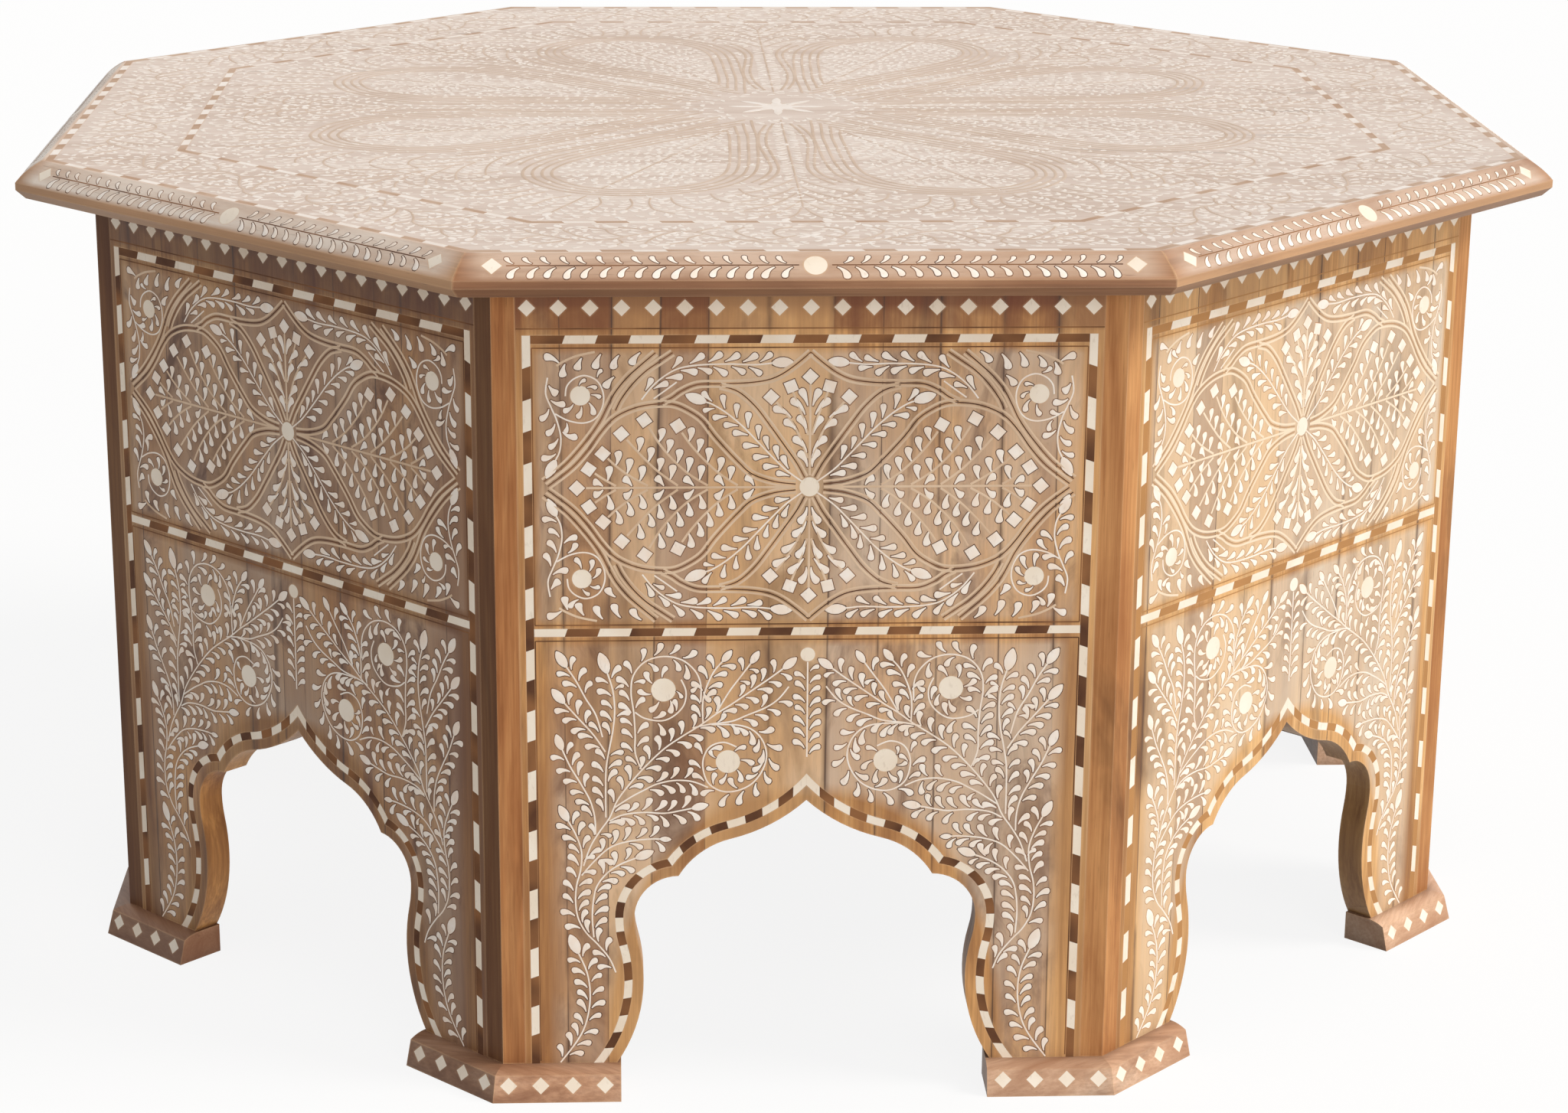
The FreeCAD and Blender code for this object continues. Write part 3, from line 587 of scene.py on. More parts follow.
def lower_field(pen):
    pen.set_frame()
    pen.vine(SPRIG, leaf=7.6, gap=6.5, bare=0)
    for way in (1, -1):
        pen.set_frame(flip_x=way)
        for point in smooth(ARCH_EDGE):
            pen.claim(point, ARCH_CLEAR)
        pen.claim(SPRIG_DISC, SPRIG_DISC_RADIUS)
        for disc in (OUTER_DISC, INNER_DISC):
            pen.pinwheel(disc, VINE_DISC_RADIUS, PINWHEEL_LEAF, count=7)
        for points, bud in LOWER_VINES:
            pen.vine(points, bud=bud)


def field_lines(pen):
    """Thin dark lines beside the strips of a panel, which leaves keep inside."""
    pen.set_frame()
    low, high = UPPER_FIELD
    for height in (low, high, LOWER_FIELD_TOP):
        add_dark_line(pen, (-FIELD_HALF_WIDTH, height), (FIELD_HALF_WIDTH, height))
    add_dark_line(pen, (-FRAME_LINE_ALONG, FRAME_LINE_HEIGHT), (FRAME_LINE_ALONG, FRAME_LINE_HEIGHT))
    for x in (-FIELD_HALF_WIDTH, FIELD_HALF_WIDTH):
        for bottom, top in (UPPER_FIELD, (LOWER_FIELD_BOTTOM, LOWER_FIELD_TOP)):
            add_dark_line(pen, (x, bottom), (x, top))


def add_dark_line(pen, start, end):
    pen.line_along(stepped(start, end), DARK_LINE_WIDTH, pen.dark)


# The edge moulding's bevel: x from the middle of a side, y across the bevel

EDGE_VINE_START = 8.0
EDGE_VINE_END = 149.0


def edge_vine(pen):
    """Large leaves below a thin dark stem, and small ones above it."""
    for way in (1, -1):
        pen.set_frame(flip_x=way)
        path = smooth([(EDGE_VINE_START, 0), (EDGE_VINE_END, 0)])
        pen.line_along(path, DARK_LINE_WIDTH, pen.dark)
        pen.leaves_along(path, leaf=8.2, gap=8.8, bare=0.0, sides=(-1,))
        pen.leaves_along(path, leaf=6.2, gap=8.8, bare=0.0, sides=(1,))


# The table top. The inner field repeats about each corner: x from the middle of the top to the corner,
# y sideways

PETAL = [
    (50, 2), (71, 11), (100, 24), (130, 35.5), (160, 47), (190, 57), (212, 61), (236, 59.5), (258, 50),
    (274, 34), (284, 17), (287, 0),
]
PETAL_RINGS = [0.0, 5.2, 10.4, 15.6]
PETAL_RING_WIDTH = 1.8
PETAL_OVERLAP = 0.5
PETAL_AXIS = [(80, 0), (270, 0)]
PETAL_BRANCHES = [
    [(104, 0), (113, 4.5), (121, 9)],
    [(118, 0), (129, 7.5), (139, 16)],
    [(132, 0), (145, 10), (157, 22)],
    [(146, 0), (161, 13), (174, 28.5)],
    [(160, 0), (176, 15), (189, 33)],
    [(174, 0), (190, 17), (202, 37)],
    [(188, 0), (204, 18), (215, 39.5)],
    [(202, 0), (217, 18), (227, 38)],
    [(216, 0), (230, 17), (240, 35)],
    [(230, 0), (242, 14), (251, 29)],
    [(244, 0), (254, 11), (260, 20)],
]
CORNER_SPRAYS = [
    [(293, 8), (308, 15), (326, 16)],
    [(290, 24), (304, 31), (318, 33)],
]
CORNER_AXIS = [(291, 0), (312, 0), (338, 0)]
RIM_VINES = [
    [(278, 42), (291, 49), (301, 60), (304, 74), (300, 90), (292, 105)],
    [(284, 33), (298, 38), (312, 47), (317, 60)],
    [(262, 58), (274, 66), (281, 78), (280, 92), (273, 104)],
    [(244, 67), (256, 76), (262, 88), (260, 100)],
]
# Between two petals: x from the middle of the top to the middle of a side, y sideways
SIDE_STEM = [(46, 0), (100, 0), (160, 0), (218, 0), (262, 0), (300, 0)]
SIDE_WAVES = [
    [(58, 5), (90, 10), (125, 11.5), (160, 9.5), (195, 8), (220, 12), (240, 20)],
    [(62, 9.5), (92, 14.5), (125, 15.8), (160, 13.5), (193, 12), (216, 16), (234, 24)],
]
SIDE_SPRAYS = [
    [(226, 2), (242, 10), (256, 21), (268, 34)],
    [(246, 2), (262, 9), (276, 19), (287, 32)],
    [(264, 2), (281, 9), (296, 18), (308, 31)],
    [(284, 1), (300, 7), (314, 14), (324, 24)],
    [(302, 1), (316, 4), (328, 9)],
]
# Small leaves that fill what room is left on the top
FILL_GAP = 7.4
FILL_LEAF = 6.8
FILL_WANDER = 0.3
FILL_TURN = 0.8
FILL_REACH = 398.0
FILL_HOLE = 34.0
# Middle lines of the top's two strips, and the half width that leaves keep clear of
TOP_STRIPS = (336.0, 404.0)
TOP_STRIP_CLEAR = 2.6
STAR_RAY_START = 9.0
STAR_RAY = 20.0
STAR_RAY_WIDTH_SHARE = 0.13

# The band between the top's two strips: x from the middle of a side, y outwards from the band's middle
BAND_APOTHEM = 369.5
ROSETTE_LEAF = 8.0
BAND_STEM = [
    (7, 0), (18, 9), (32, 11), (46, 2), (58, -8.5), (73, -10.5), (87, -2), (99, 8.5), (114, 10.5),
    (127, 2), (138, -8), (141, -14),
]
BAND_SPRAYS = [
    [(13, 6), (18, -4), (16, -15), (8, -20)],
    [(24, 11), (33, 0), (37, -11), (32, -20)],
    [(30, 12), (22, 18), (12, 20)],
    [(38, 9), (45, 17), (54, 20)],
    [(52, -4), (60, 5), (62, 15), (70, 20)],
    [(56, -9), (50, -16), (44, -20)],
    [(66, -11), (75, 0), (80, 11), (82, 20)],
    [(78, -9), (86, -17), (95, -20)],
    [(92, 3), (99, -6), (102, -16), (110, -20)],
    [(96, 7), (93, 15), (96, 21)],
    [(106, 10.5), (115, 0), (121, -11), (124, -20)],
    [(119, 8), (127, 15), (137, 19)],
    [(132, -3), (140, 4), (146, 13)],
]


def top_inner_field(pen):
    for i in range(SIDES):
        corner_turn = STEP * (i + 0.5)
        side_turn = STEP * i
        for way in (1, -1):
            pen.set_frame(flip_y=way, turn=corner_turn)
            petal = smooth(PETAL)
            for ring in PETAL_RINGS:
                kept = [point for point in shifted(petal, -ring) if point[1] > -PETAL_OVERLAP]
                pen.line_along(kept, PETAL_RING_WIDTH)
            for points in PETAL_BRANCHES:
                pen.leaves_along(smooth(points), leaf=7.4, gap=6.6, bare=3)
            for points in CORNER_SPRAYS + RIM_VINES:
                pen.vine(points, leaf=7.8, gap=7.6, bud=8)
            pen.set_frame(flip_y=way, turn=side_turn)
            for points in SIDE_WAVES:
                pen.line_along(smooth(points), PETAL_RING_WIDTH)
            for points in SIDE_SPRAYS:
                pen.vine(points, leaf=7.4, gap=7.4, bud=8)
        pen.set_frame(turn=corner_turn)
        pen.vine(PETAL_AXIS, leaf=7.0, gap=6.6)
        pen.vine(CORNER_AXIS, leaf=7.8, gap=7.6, bud=9)
        pen.set_frame(turn=side_turn)
        pen.vine(SIDE_STEM, leaf=6.8, gap=7.2)
        pen.bud((STAR_RAY_START, 0), 0.0, STAR_RAY, STAR_RAY_WIDTH_SHARE)


def top_band(pen):
    for i in range(SIDES):
        origin = away((0, 0), STEP * i - math.pi / 2, BAND_APOTHEM)
        for way in (1, -1):
            pen.set_frame(flip_x=way, flip_y=-1, turn=STEP * i, origin=origin)
            pen.vine(BAND_STEM, leaf=7.8, gap=7.6)
            for points in BAND_SPRAYS:
                pen.vine(points, leaf=7.4, gap=7.4, bud=8)
        pen.set_frame(flip_y=-1, turn=STEP * i, origin=origin)
        for quarter in range(4):
            pen.bud((0, 0), math.radians(45 + 90 * quarter), ROSETTE_LEAF)


def claim_top_strips(pen):
    """Keeps leaves off the strips of the top."""
    for apothem in TOP_STRIPS:
        half = apothem * math.tan(STEP / 2)
        for i in range(SIDES):
            pen.set_frame(turn=STEP * i)
            for point in stepped((-half, apothem), (half, apothem)):
                pen.claim(point, TOP_STRIP_CLEAR)


def top_filling(pen):
    pen.set_frame()
    reach = math.floor(FILL_REACH / FILL_GAP)
    for column in range(-reach, reach + 1):
        for row in range(-reach, reach + 1):
            x = (column + pen.vary(FILL_WANDER)) * FILL_GAP
            y = (row + pen.vary(FILL_WANDER)) * FILL_GAP
            outward = math.atan2(y, x)
            # The side that a point is nearest to sets how far out it is
            off_side = (outward + STEP / 2) % STEP - STEP / 2
            radius = math.hypot(x, y)
            if radius > FILL_HOLE and radius * math.cos(off_side) < FILL_REACH:
                side = 1 if (column + row) % 2 else -1
                pen.leaf((x, y), outward + pen.vary(FILL_TURN), side, FILL_LEAF)


# Where a sheet's points lie on the table


def side_axes(side):
    """Unit vectors along a side and out of it."""
    turn = STEP * side
    return Vector((math.cos(turn), math.sin(turn), 0)), Vector((math.sin(turn), -math.cos(turn), 0))


def on_panel(side):
    along, outward = side_axes(side)

    def place(x, y, lift):
        return (along * x + outward * (BODY_APOTHEM + lift) + Vector((0, 0, y))) * MM

    return place


def on_bevel(side):
    along, outward = side_axes(side)
    length = math.hypot(BEVEL_RUN, BEVEL_DROP)
    up_slope = (Vector((0, 0, BEVEL_DROP)) - outward * BEVEL_RUN) / length
    normal = (outward * BEVEL_DROP + Vector((0, 0, BEVEL_RUN))) / length
    middle = outward * (TOP_APOTHEM - BEVEL_RUN / 2) + Vector((0, 0, TABLE_HEIGHT - BEVEL_DROP / 2))

    def place(x, y, lift):
        crown = BEVEL_CROWN * (1 - (2 * y / length) ** 2)
        return (middle + along * x + up_slope * y + normal * (lift + crown)) * MM

    return place


def on_top(x, y, lift):
    return Vector((x, y, TABLE_HEIGHT + lift)) * MM


# Materials

NOISE_ROUGHNESS = 0.6
QUICK_SAMPLES = 4
# Axes that grain runs along
SIDEWAYS = 0
UPRIGHT = 2
# How squarely a face meets its rounded edge where wear starts and is full
EDGE_TURN = (0.995, 0.9)
# The turn from the front of the side that the painted light comes from, and how squarely faces are turned
# towards it (1) or away from it (-1) where its effects start and are full. Faces towards it are painted paler
# and faces away darker: painted light and shade
PAINTED_LIGHT_TURN = math.radians(68)
AWAY = (0.3, -0.4)
TOWARDS = (0.4, 1.0)
NOT_TOWARDS = (1.1, 0.4)
# Finished materials by name
looks = {}


def tone(red, green, blue):
    """A colour from screen values of 0 to 255."""
    linear = []
    for value in (red, green, blue):
        share = value / 255
        linear.append(share / 12.92 if share <= 0.04045 else ((share + 0.055) / 1.055) ** 2.4)
    return (*linear, 1.0)


def turned_to_painted_light(angle):
    """How far a face is turned to the painted light: 1 when it faces it, -1 when it faces away."""
    return math.cos(angle - PAINTED_LIGHT_TURN)


class Nodes:
    """Adds nodes to a material or world and links them. Most calls return an output of the new node."""

    def __init__(self, owner):
        owner.use_nodes = True
        self.tree = owner.node_tree
        self.tree.nodes.clear()

    def add(self, kind, inputs=None, output=0, **settings):
        node = self.tree.nodes.new("ShaderNode" + kind)
        for key, value in settings.items():
            setattr(node, key, value)
        for key, value in (inputs or {}).items():
            if isinstance(value, bpy.types.NodeSocket):
                self.tree.links.new(value, node.inputs[key])
            else:
                node.inputs[key].default_value = value
        return node.outputs[output] if node.outputs else None

    def math(self, operation, first, second=0.0, **settings):
        return self.add("Math", {0: first, 1: second}, operation=operation, **settings)

    def product(self, first, *others):
        for other in others:
            first = self.math("MULTIPLY", first, other)
        return first

    def larger(self, first, second):
        return self.math("MAXIMUM", first, second)

    def mix(self, factor, first, second):
        return self.add("Mix", {0: factor, 6: first, 7: second}, output=2, data_type="RGBA")

    def levels(self, value, low, high):
        """A value that goes from 0 at low to 1 at high."""
        return self.add("MapRange", {"Value": value, "From Min": low, "From Max": high})

    def past(self, length, start, width):
        """A value that goes from 0 at a start to 1 at a width past it, in millimetres."""
        return self.levels(length, start * MM, (start + width) * MM)

    def local(self, turn=0.0, offset=(0, 0, 0)):
        """Coordinates turned so that x runs along a side and z is up, in metres."""
        place = self.add("TexCoord", output="Object")
        return self.add("Mapping", {"Vector": place, "Rotation": (0, 0, -turn), "Location": offset})

    def noise(self, vector, scale, detail, distortion=0.0):
        """Noise stretched by a scale on each axis."""
        return self.add("TexNoise", {
            "Vector": self.add("Mapping", {"Vector": vector, "Scale": scale}), "Scale": 1.0, "Detail": detail,
            "Roughness": NOISE_ROUGHNESS, "Distortion": distortion,
        }, output="Fac")


class Surface(Nodes):
    """A material whose colour is built up in steps."""

    def __init__(self, name):
        self.name = name
        self.material = bpy.data.materials.new(name)
        super().__init__(self.material)

    def tint(self, towards, *shares):
        """Changes the colour towards another by the product of masks and shares."""
        self.colour = self.mix(self.product(*shares), self.colour, towards)

    def alignment(self, first, second):
        return self.add("VectorMath", {0: first, 1: second}, output="Value", operation="DOT_PRODUCT")

    def facing_painted_light(self, start, end):
        """A value that goes from 0 at a start to 1 at an end, by how a face is turned to the painted light.
        """
        painted_light_direction = (math.sin(PAINTED_LIGHT_TURN), -math.cos(PAINTED_LIGHT_TURN), 0)
        return self.levels(self.alignment(self.add("TexCoord", output="Normal"), painted_light_direction), start, end)

    def edge_mask(self, radius):
        """A value that rises from 0 on flat faces to 1 at edges."""
        rounded = self.add("Bevel", {"Radius": radius}, samples=QUICK_SAMPLES)
        normal = self.add("NewGeometry", output="Normal")
        return self.levels(self.alignment(rounded, normal), *EDGE_TURN)

    def finish(self, value, low, high, height, strength, distance, specular=0.5, metallic=0.0):
        """Roughness from low to high by a value, and a bump of a height, a strength and a distance."""
        roughness = self.add("MapRange", {"Value": value, "To Min": low, "To Max": high})
        bump = self.add("Bump", {"Height": height, "Strength": strength, "Distance": distance})
        surface = self.add("BsdfPrincipled", {
            "Base Color": self.colour, "Roughness": roughness, "Normal": bump, "Specular IOR Level": specular,
            "Metallic": metallic,
        })
        self.add("OutputMaterial", {"Surface": surface})
        looks[self.name] = self.material


# Colours of the wood: (dark grain, middle, light grain), and paler ones for sides turned to the light,
# which are painted light
PANEL_TONES = (tone(126, 73, 36), tone(212, 152, 89), tone(242, 190, 128))
PAINTED_LIT_PANEL_TONES = (tone(146, 98, 54), tone(218, 166, 104), tone(242, 200, 144))
POST_TONES = (tone(126, 70, 36), tone(185, 125, 77), tone(206, 150, 98))
PAINTED_LIT_POST_TONES = (tone(148, 90, 48), tone(201, 145, 93), tone(221, 167, 110))
FOOT_TONES = (tone(140, 92, 62), tone(194, 146, 112), tone(216, 174, 144))
PAINTED_LIT_FOOT_TONES = (tone(180, 132, 98), tone(226, 188, 158), tone(240, 210, 184))
EDGE_TONES = (tone(116, 72, 42), tone(164, 114, 78), tone(192, 144, 106))
# The top's pale tones are partly its bleached wood and partly painted sheen
TOP_TONES = (tone(205, 183, 168), tone(228, 211, 200), tone(237, 224, 214))
PLAIN_TONES = (tone(140, 98, 62), tone(176, 132, 90), tone(196, 156, 114))
# Painted shade on faces turned away from the light
PAINTED_SIDE_SHADE = tone(34, 20, 16)
# Dark streaks in the wood, also used for the painted shade in corners and under overhangs
STREAK_AND_SHADE = tone(78, 46, 26)
SEAM = tone(66, 38, 22)
WORN = tone(224, 184, 142)
# Dark frieze wood, and the painted shadow under the top's overhang; both are lighter on faces towards the
# light, which is painted light
FRIEZE_DARK_AND_SHADOW = tone(108, 46, 6)
FIELD_SMEAR = tone(94, 57, 37)
# Painted shade under the edge moulding's nose, and the pale tone that paints light on the moulding's faces
NOSE_SHADE = tone(58, 30, 14)
NOSE_PAINTED_LIGHT = tone(240, 196, 150)
# Haze on the inlay fields and on the bevel: plain, towards the light and away from it, and the least haze
# towards the light. Paler haze towards the light is painted light, darker haze away from it on the fields
# is painted shade, and paler haze away from it on the bevel is painted light
FIELD_HAZE = tone(216, 189, 166)
PAINTED_LIT_HAZE = tone(218, 203, 184)
PAINTED_SHADED_HAZE = tone(184, 158, 138)
LEAST_HAZE = 0.66
BEVEL_HAZE = tone(198, 166, 142)
BEVEL_HAZE_PAINTED_LIT = tone(214, 196, 182)
BEVEL_HAZE_AWAY = tone(244, 232, 220)

# Noise in the wood: changes to a metre across the grain and along it, detail, distortion
FIGURE = (44, 3.4, 6, 0.8)
FIBRE = (620, 16, 3, 0.0)
BLOTCH = (13, 6, 4, 0.4)
WANDER = (24, 0.6, 1, 0.0)
FIGURE_STOPS = (0.3, 0.5, 0.72)
# How far apart the places in the noise are that pieces of wood are drawn from
GRAIN_SPREAD = 4.0
# Marks in the wood: noise, its values where the mark starts and is full, and the mark's strength
DARK_BLOTCHES = (BLOTCH, 0.52, 0.3, 0.6)
LIGHT_BLOTCHES = (BLOTCH, 0.54, 0.74, 0.5)
DARK_FIBRES = (FIBRE, 0.62, 0.36, 0.4)
PORES = ((1500, 60, 2, 0.0), 0.66, 0.74, 0.35)
KNOTS = ((19, 4.5, 5, 0.9), 0.68, 0.86, 0.75)
THREADS = ((150, 3.2, 4, 0.3), 0.72, 0.84, 0.7)
SEAM_STAINS = ((34, 13, 4, 0.0), 0.5, 0.62, 0.62)
SEAMS = ((30, 9, 3, 0.0), 0.4, 0.58, 0.8)
HAZE = ((16, 9, 4, 0.0), 0.26, 0.66, 0.9)
SMEARS = ((34, 15, 5, 1.0), 0.53, 0.68, 0.92)
FRIEZE_PATCHES = ((30, 12, 5, 0.6), 0.3, 0.66, 0.85)
FRIEZE_THREADS = ((130, 5, 4, 0.3), 0.54, 0.68, 0.95)
BEVEL_PATCHES = ((70, 16, 5, 0.0), 0.1, 0.6, 1.0)
WEAR = (FIGURE, 0.3, 0.6, 0.55)
# How much sooner knots and threads start in wood full of streaks
MORE_KNOTS = 0.2
MORE_THREADS = 0.1
# Painted shade in corners and under overhangs, found by ambient occlusion: reach in metres, openness where it
# starts and is full, and its strength
CREVICE_REACH = 0.012
CREVICE_OPEN = (0.85, 0.3)
CREVICE_PAINTED_SHADE = 0.6
# Width of worn edges, and the strength and depth of the bump, in metres
WORN_EDGE = 0.0014
WOOD_BUMP = (0.25, 0.0003)
# Boards of a panel: width and wander in metres, draws that darken or lighten them, and where stains
# and seams lie
STAVE_WIDTH = 0.0285
STAVE_WANDER = 0.035
DARK_BOARDS = (0.55, 1.9)
LIGHT_BOARDS = (0.45, -0.8)
STAIN_PLACE = (0.42, 0.49)
SEAM_PLACE = (0.48, 0.494)
# Soft edge and depth of the inlay fields, and where the lower one starts at its arch and fades down the legs
FIELD_SOFT = 4.0
FIELD_DEPTH = 0.5
ARCH_START = (1.0, 1.12)
LEG_FADE = (-0.16, 0.1)
# The fields get less painted shade than the wood round them
FIELD_UNSHADED = (2.2, 0.0)
# The frieze: how far below its line it starts, its soft edge, and the painted shadow under the top
FRIEZE_LOW = 2.0
FRIEZE_SOFT = 3.0
UNDER_TOP_REACH = 12.0
UNDER_TOP_PAINTED_SHADOW = 0.85
# The edge moulding: painted shade under its nose, painted light on faces turned away from the light and
# towards it, and how far in from its corners the haze starts and is full
NOSE_DARK = 0.34
NOSE_START = 2.0
BEVEL_LOW = 0.5
BEVEL_SOFT = 2.5
PALED_AWAY = 0.32
PALED_TOWARDS = 0.42
BARE_CORNER = (2.0, 15.0)


class Wood(Surface):
    """Wood whose grain runs along one axis of a side turned about the vertical."""

    def __init__(self, name, turn, seed, tones, along):
        super().__init__(name)
        drawn = random.Random(seed)
        self.place = self.local(turn, [drawn.uniform(-GRAIN_SPREAD, GRAIN_SPREAD) for _ in range(3)])
        self.axes = self.add("SeparateXYZ", {"Vector": self.local(turn)}).node.outputs
        self.along = along
        self.made = {}
        self.dark, _, self.light = tones
        ramp = self.add("ValToRGB", {"Fac": self.grain(FIGURE)})
        stops = ramp.node.color_ramp.elements
        stops.new(FIGURE_STOPS[1])
        for stop, place, colour in zip(stops, FIGURE_STOPS, tones):
            stop.position = place
            stop.color = colour
        self.colour = ramp
        self.tint(self.dark, self.mark(DARK_BLOTCHES))
        self.tint(self.light, self.mark(LIGHT_BLOTCHES))
        self.tint(self.dark, self.mark(DARK_FIBRES))

    def grain(self, shape):
        """Noise in the wood's own place, made once."""
        if shape not in self.made:
            across, lengthwise, detail, distortion = shape
            scale = [lengthwise if axis == self.along else across for axis in range(3)]
            self.made[shape] = self.noise(self.place, scale, detail, distortion)
        return self.made[shape]

    def mark(self, mark, sooner=0.0):
        """How strong a mark is, from 0 to its strength."""
        shape, start, full, strength = mark
        return self.product(self.levels(self.grain(shape), start - sooner, full - sooner), strength)

    def field_mask(self):
        """1 on the front of a panel where it has vines."""
        along = self.math("ABSOLUTE", self.axes[0])
        height = self.axes[2]
        low, high = UPPER_FIELD
        upper = self.product(
            self.past(along, FIELD_HALF_WIDTH, -FIELD_SOFT),
            self.past(height, low, FIELD_SOFT),
            self.past(height, high, -FIELD_SOFT),
        )
        arch = self.math("ADD", *[
            self.math("POWER", self.math("DIVIDE", value, size * MM), ARCH_POWER)
            for value, size in zip((along, height), ARCH_SIZE)
        ])
        lower = self.product(
            self.past(height, LOWER_FIELD_TOP, -FIELD_SOFT),
            self.past(along, VINE_REACH, -2 * FIELD_SOFT),
            self.levels(arch, *ARCH_START),
            self.levels(height, *LEG_FADE),
        )
        front = self.math("LESS_THAN", self.axes[1], (FIELD_DEPTH - BODY_APOTHEM) * MM)
        return self.product(self.larger(upper, lower), front)

    def add_haze(self, field, turn):
        """Pale haze and dark smears on the inlay fields of a panel, with more and paler haze on sides turned
        to the light (painted light) and darker haze on sides turned away (painted shade).
        """
        share = turned_to_painted_light(turn)
        haze_tone = between(FIELD_HAZE, PAINTED_LIT_HAZE if share > 0 else PAINTED_SHADED_HAZE, abs(share))
        least = LEAST_HAZE * max(0.0, share)
        self.tint(haze_tone, field, self.larger(self.mark(HAZE), least))
        self.tint(FIELD_SMEAR, self.mark(SMEARS), field, 1 - least)

    def darken_frieze(self):
        """Dark wood with dark threads above the frame line of a panel, a painted shadow under the top, and
        less dark on faces towards the light, which is painted light.
        """
        height = self.axes[2]
        above = self.past(height, FRAME_LINE_HEIGHT - FRIEZE_LOW, FRIEZE_SOFT)
        painted_shadow_under_top = self.product(self.past(height, FRAME_LINE_HEIGHT, UNDER_TOP_REACH), UNDER_TOP_PAINTED_SHADOW)
        marks = self.larger(self.mark(FRIEZE_PATCHES), self.mark(FRIEZE_THREADS))
        self.tint(FRIEZE_DARK_AND_SHADOW, above, self.larger(marks, painted_shadow_under_top), self.facing_painted_light(*NOT_TOWARDS))

    def add_staves(self, seed):
        """Boards of slightly different tones with dark, broken seams between them."""
        wander = self.product(self.grain(WANDER), STAVE_WANDER)
        count = self.math("DIVIDE", self.math("ADD", self.axes[0], wander), STAVE_WIDTH)
        number = self.math("ADD", self.math("FLOOR", count), seed + 0.5)
        board = self.add("TexWhiteNoise", {"W": number}, output="Value", noise_dimensions="1D")
        self.tint(self.dark, self.levels(board, *DARK_BOARDS))
        self.tint(self.light, self.levels(board, *LIGHT_BOARDS))
        side = self.math("ABSOLUTE", self.math("SUBTRACT", self.math("FRACT", count), 0.5))
        self.tint(STREAK_AND_SHADE, self.levels(side, *STAIN_PLACE), self.mark(SEAM_STAINS))
        self.tint(SEAM, self.levels(side, *SEAM_PLACE), self.mark(SEAMS))

    def paint_bevel_light_and_shade(self):
        """Makes the bevel of the edge moulding pale, paints shade on the moulding under its nose, and paints
        light on its faces turned away from the light and towards it.
        """
        height = self.axes[2]
        ridge = TABLE_HEIGHT - BEVEL_DROP
        shaded = self.facing_painted_light(*AWAY)
        towards = self.facing_painted_light(*TOWARDS)
        # Painted shade: darker towards the bottom of the moulding under its nose
        self.tint(NOSE_SHADE, self.levels(height, (ridge + NOSE_START) * MM, edge_low.z), NOSE_DARK)
        # Painted light on faces turned away from the light and towards it
        painted_light_share = self.larger(self.product(shaded, PALED_AWAY), self.product(towards, PALED_TOWARDS))
        self.tint(NOSE_PAINTED_LIGHT, painted_light_share)
        half = TOP_APOTHEM * math.tan(STEP / 2)
        bare, worn = BARE_CORNER
        inner = self.past(self.math("ABSOLUTE", self.axes[0]), half - bare, bare - worn)
        # The haze is paler on faces towards the light and away from it: painted light
        haze = self.mix(towards, self.mix(shaded, BEVEL_HAZE, BEVEL_HAZE_AWAY), BEVEL_HAZE_PAINTED_LIT)
        self.tint(haze, self.past(height, ridge - BEVEL_LOW, BEVEL_SOFT), inner, self.mark(BEVEL_PATCHES))


def wood(name, turn, seed, tones, along=UPRIGHT, panel=False, edge=False, streaks=0.0, painted_shade=0.0,
         roughness=(0.42, 0.6), specular=0.5):
    """Makes a wood. panel and edge add what only the side panels and the edge mouldings have.

    streaks is the share of dark figure, and painted_shade how much darker faces are painted that face away
    from the light."""
    made = Wood(name, turn, seed, tones, along)
    shade = [painted_shade]
    if panel:
        field = made.field_mask()
        made.add_haze(field, turn)
        made.darken_frieze()
        made.add_staves(seed)
        shade.append(made.levels(field, *FIELD_UNSHADED))
    if edge:
        made.paint_bevel_light_and_shade()
    if streaks:
        made.tint(STREAK_AND_SHADE, made.mark(KNOTS, MORE_KNOTS * streaks))
        made.tint(STREAK_AND_SHADE, made.mark(THREADS, MORE_THREADS * streaks))
    if painted_shade:
        # Painted shade: faces turned away from the light are darker
        made.tint(PAINTED_SIDE_SHADE, made.facing_painted_light(*AWAY), *shade)
    made.tint(STREAK_AND_SHADE, made.mark(PORES))
    # Painted shade where ambient occlusion finds corners and overhangs
    painted_corner_shade = made.add("AmbientOcclusion", {"Distance": CREVICE_REACH}, output="AO", samples=QUICK_SAMPLES)
    made.tint(STREAK_AND_SHADE, made.levels(painted_corner_shade, *CREVICE_OPEN), CREVICE_PAINTED_SHADE)
    made.tint(WORN, made.edge_mask(WORN_EDGE), made.mark(WEAR))
    smooth_wood, rough_wood = roughness
    made.finish(made.grain(FIGURE), rough_wood, smooth_wood, made.grain(FIBRE), *WOOD_BUMP, specular)


# Changes from piece to piece in an inlay, clouds within a piece, and dirt
PIECE_CHANGES = (0.36, 0.64)
CLOUDS_TO_A_METRE = 90
GRIME = tone(160, 128, 96)
GRIME_SPOTS = (0.6, 0.8)
SPOT_SHARE = 0.3
GRIME_EDGE = 0.0005
EDGE_SHARE = 0.15
# How far faces towards the light take an inlay's painted light tone, its grain along the height, its
# roughness and its bump
INLAY_PAINTED_LIGHT = 0.9
UPRIGHT_GRAIN = 0.4
SMOOTHER = 0.08
ROUGHER = 0.12
INLAY_BUMP = (0.1, 0.0002)


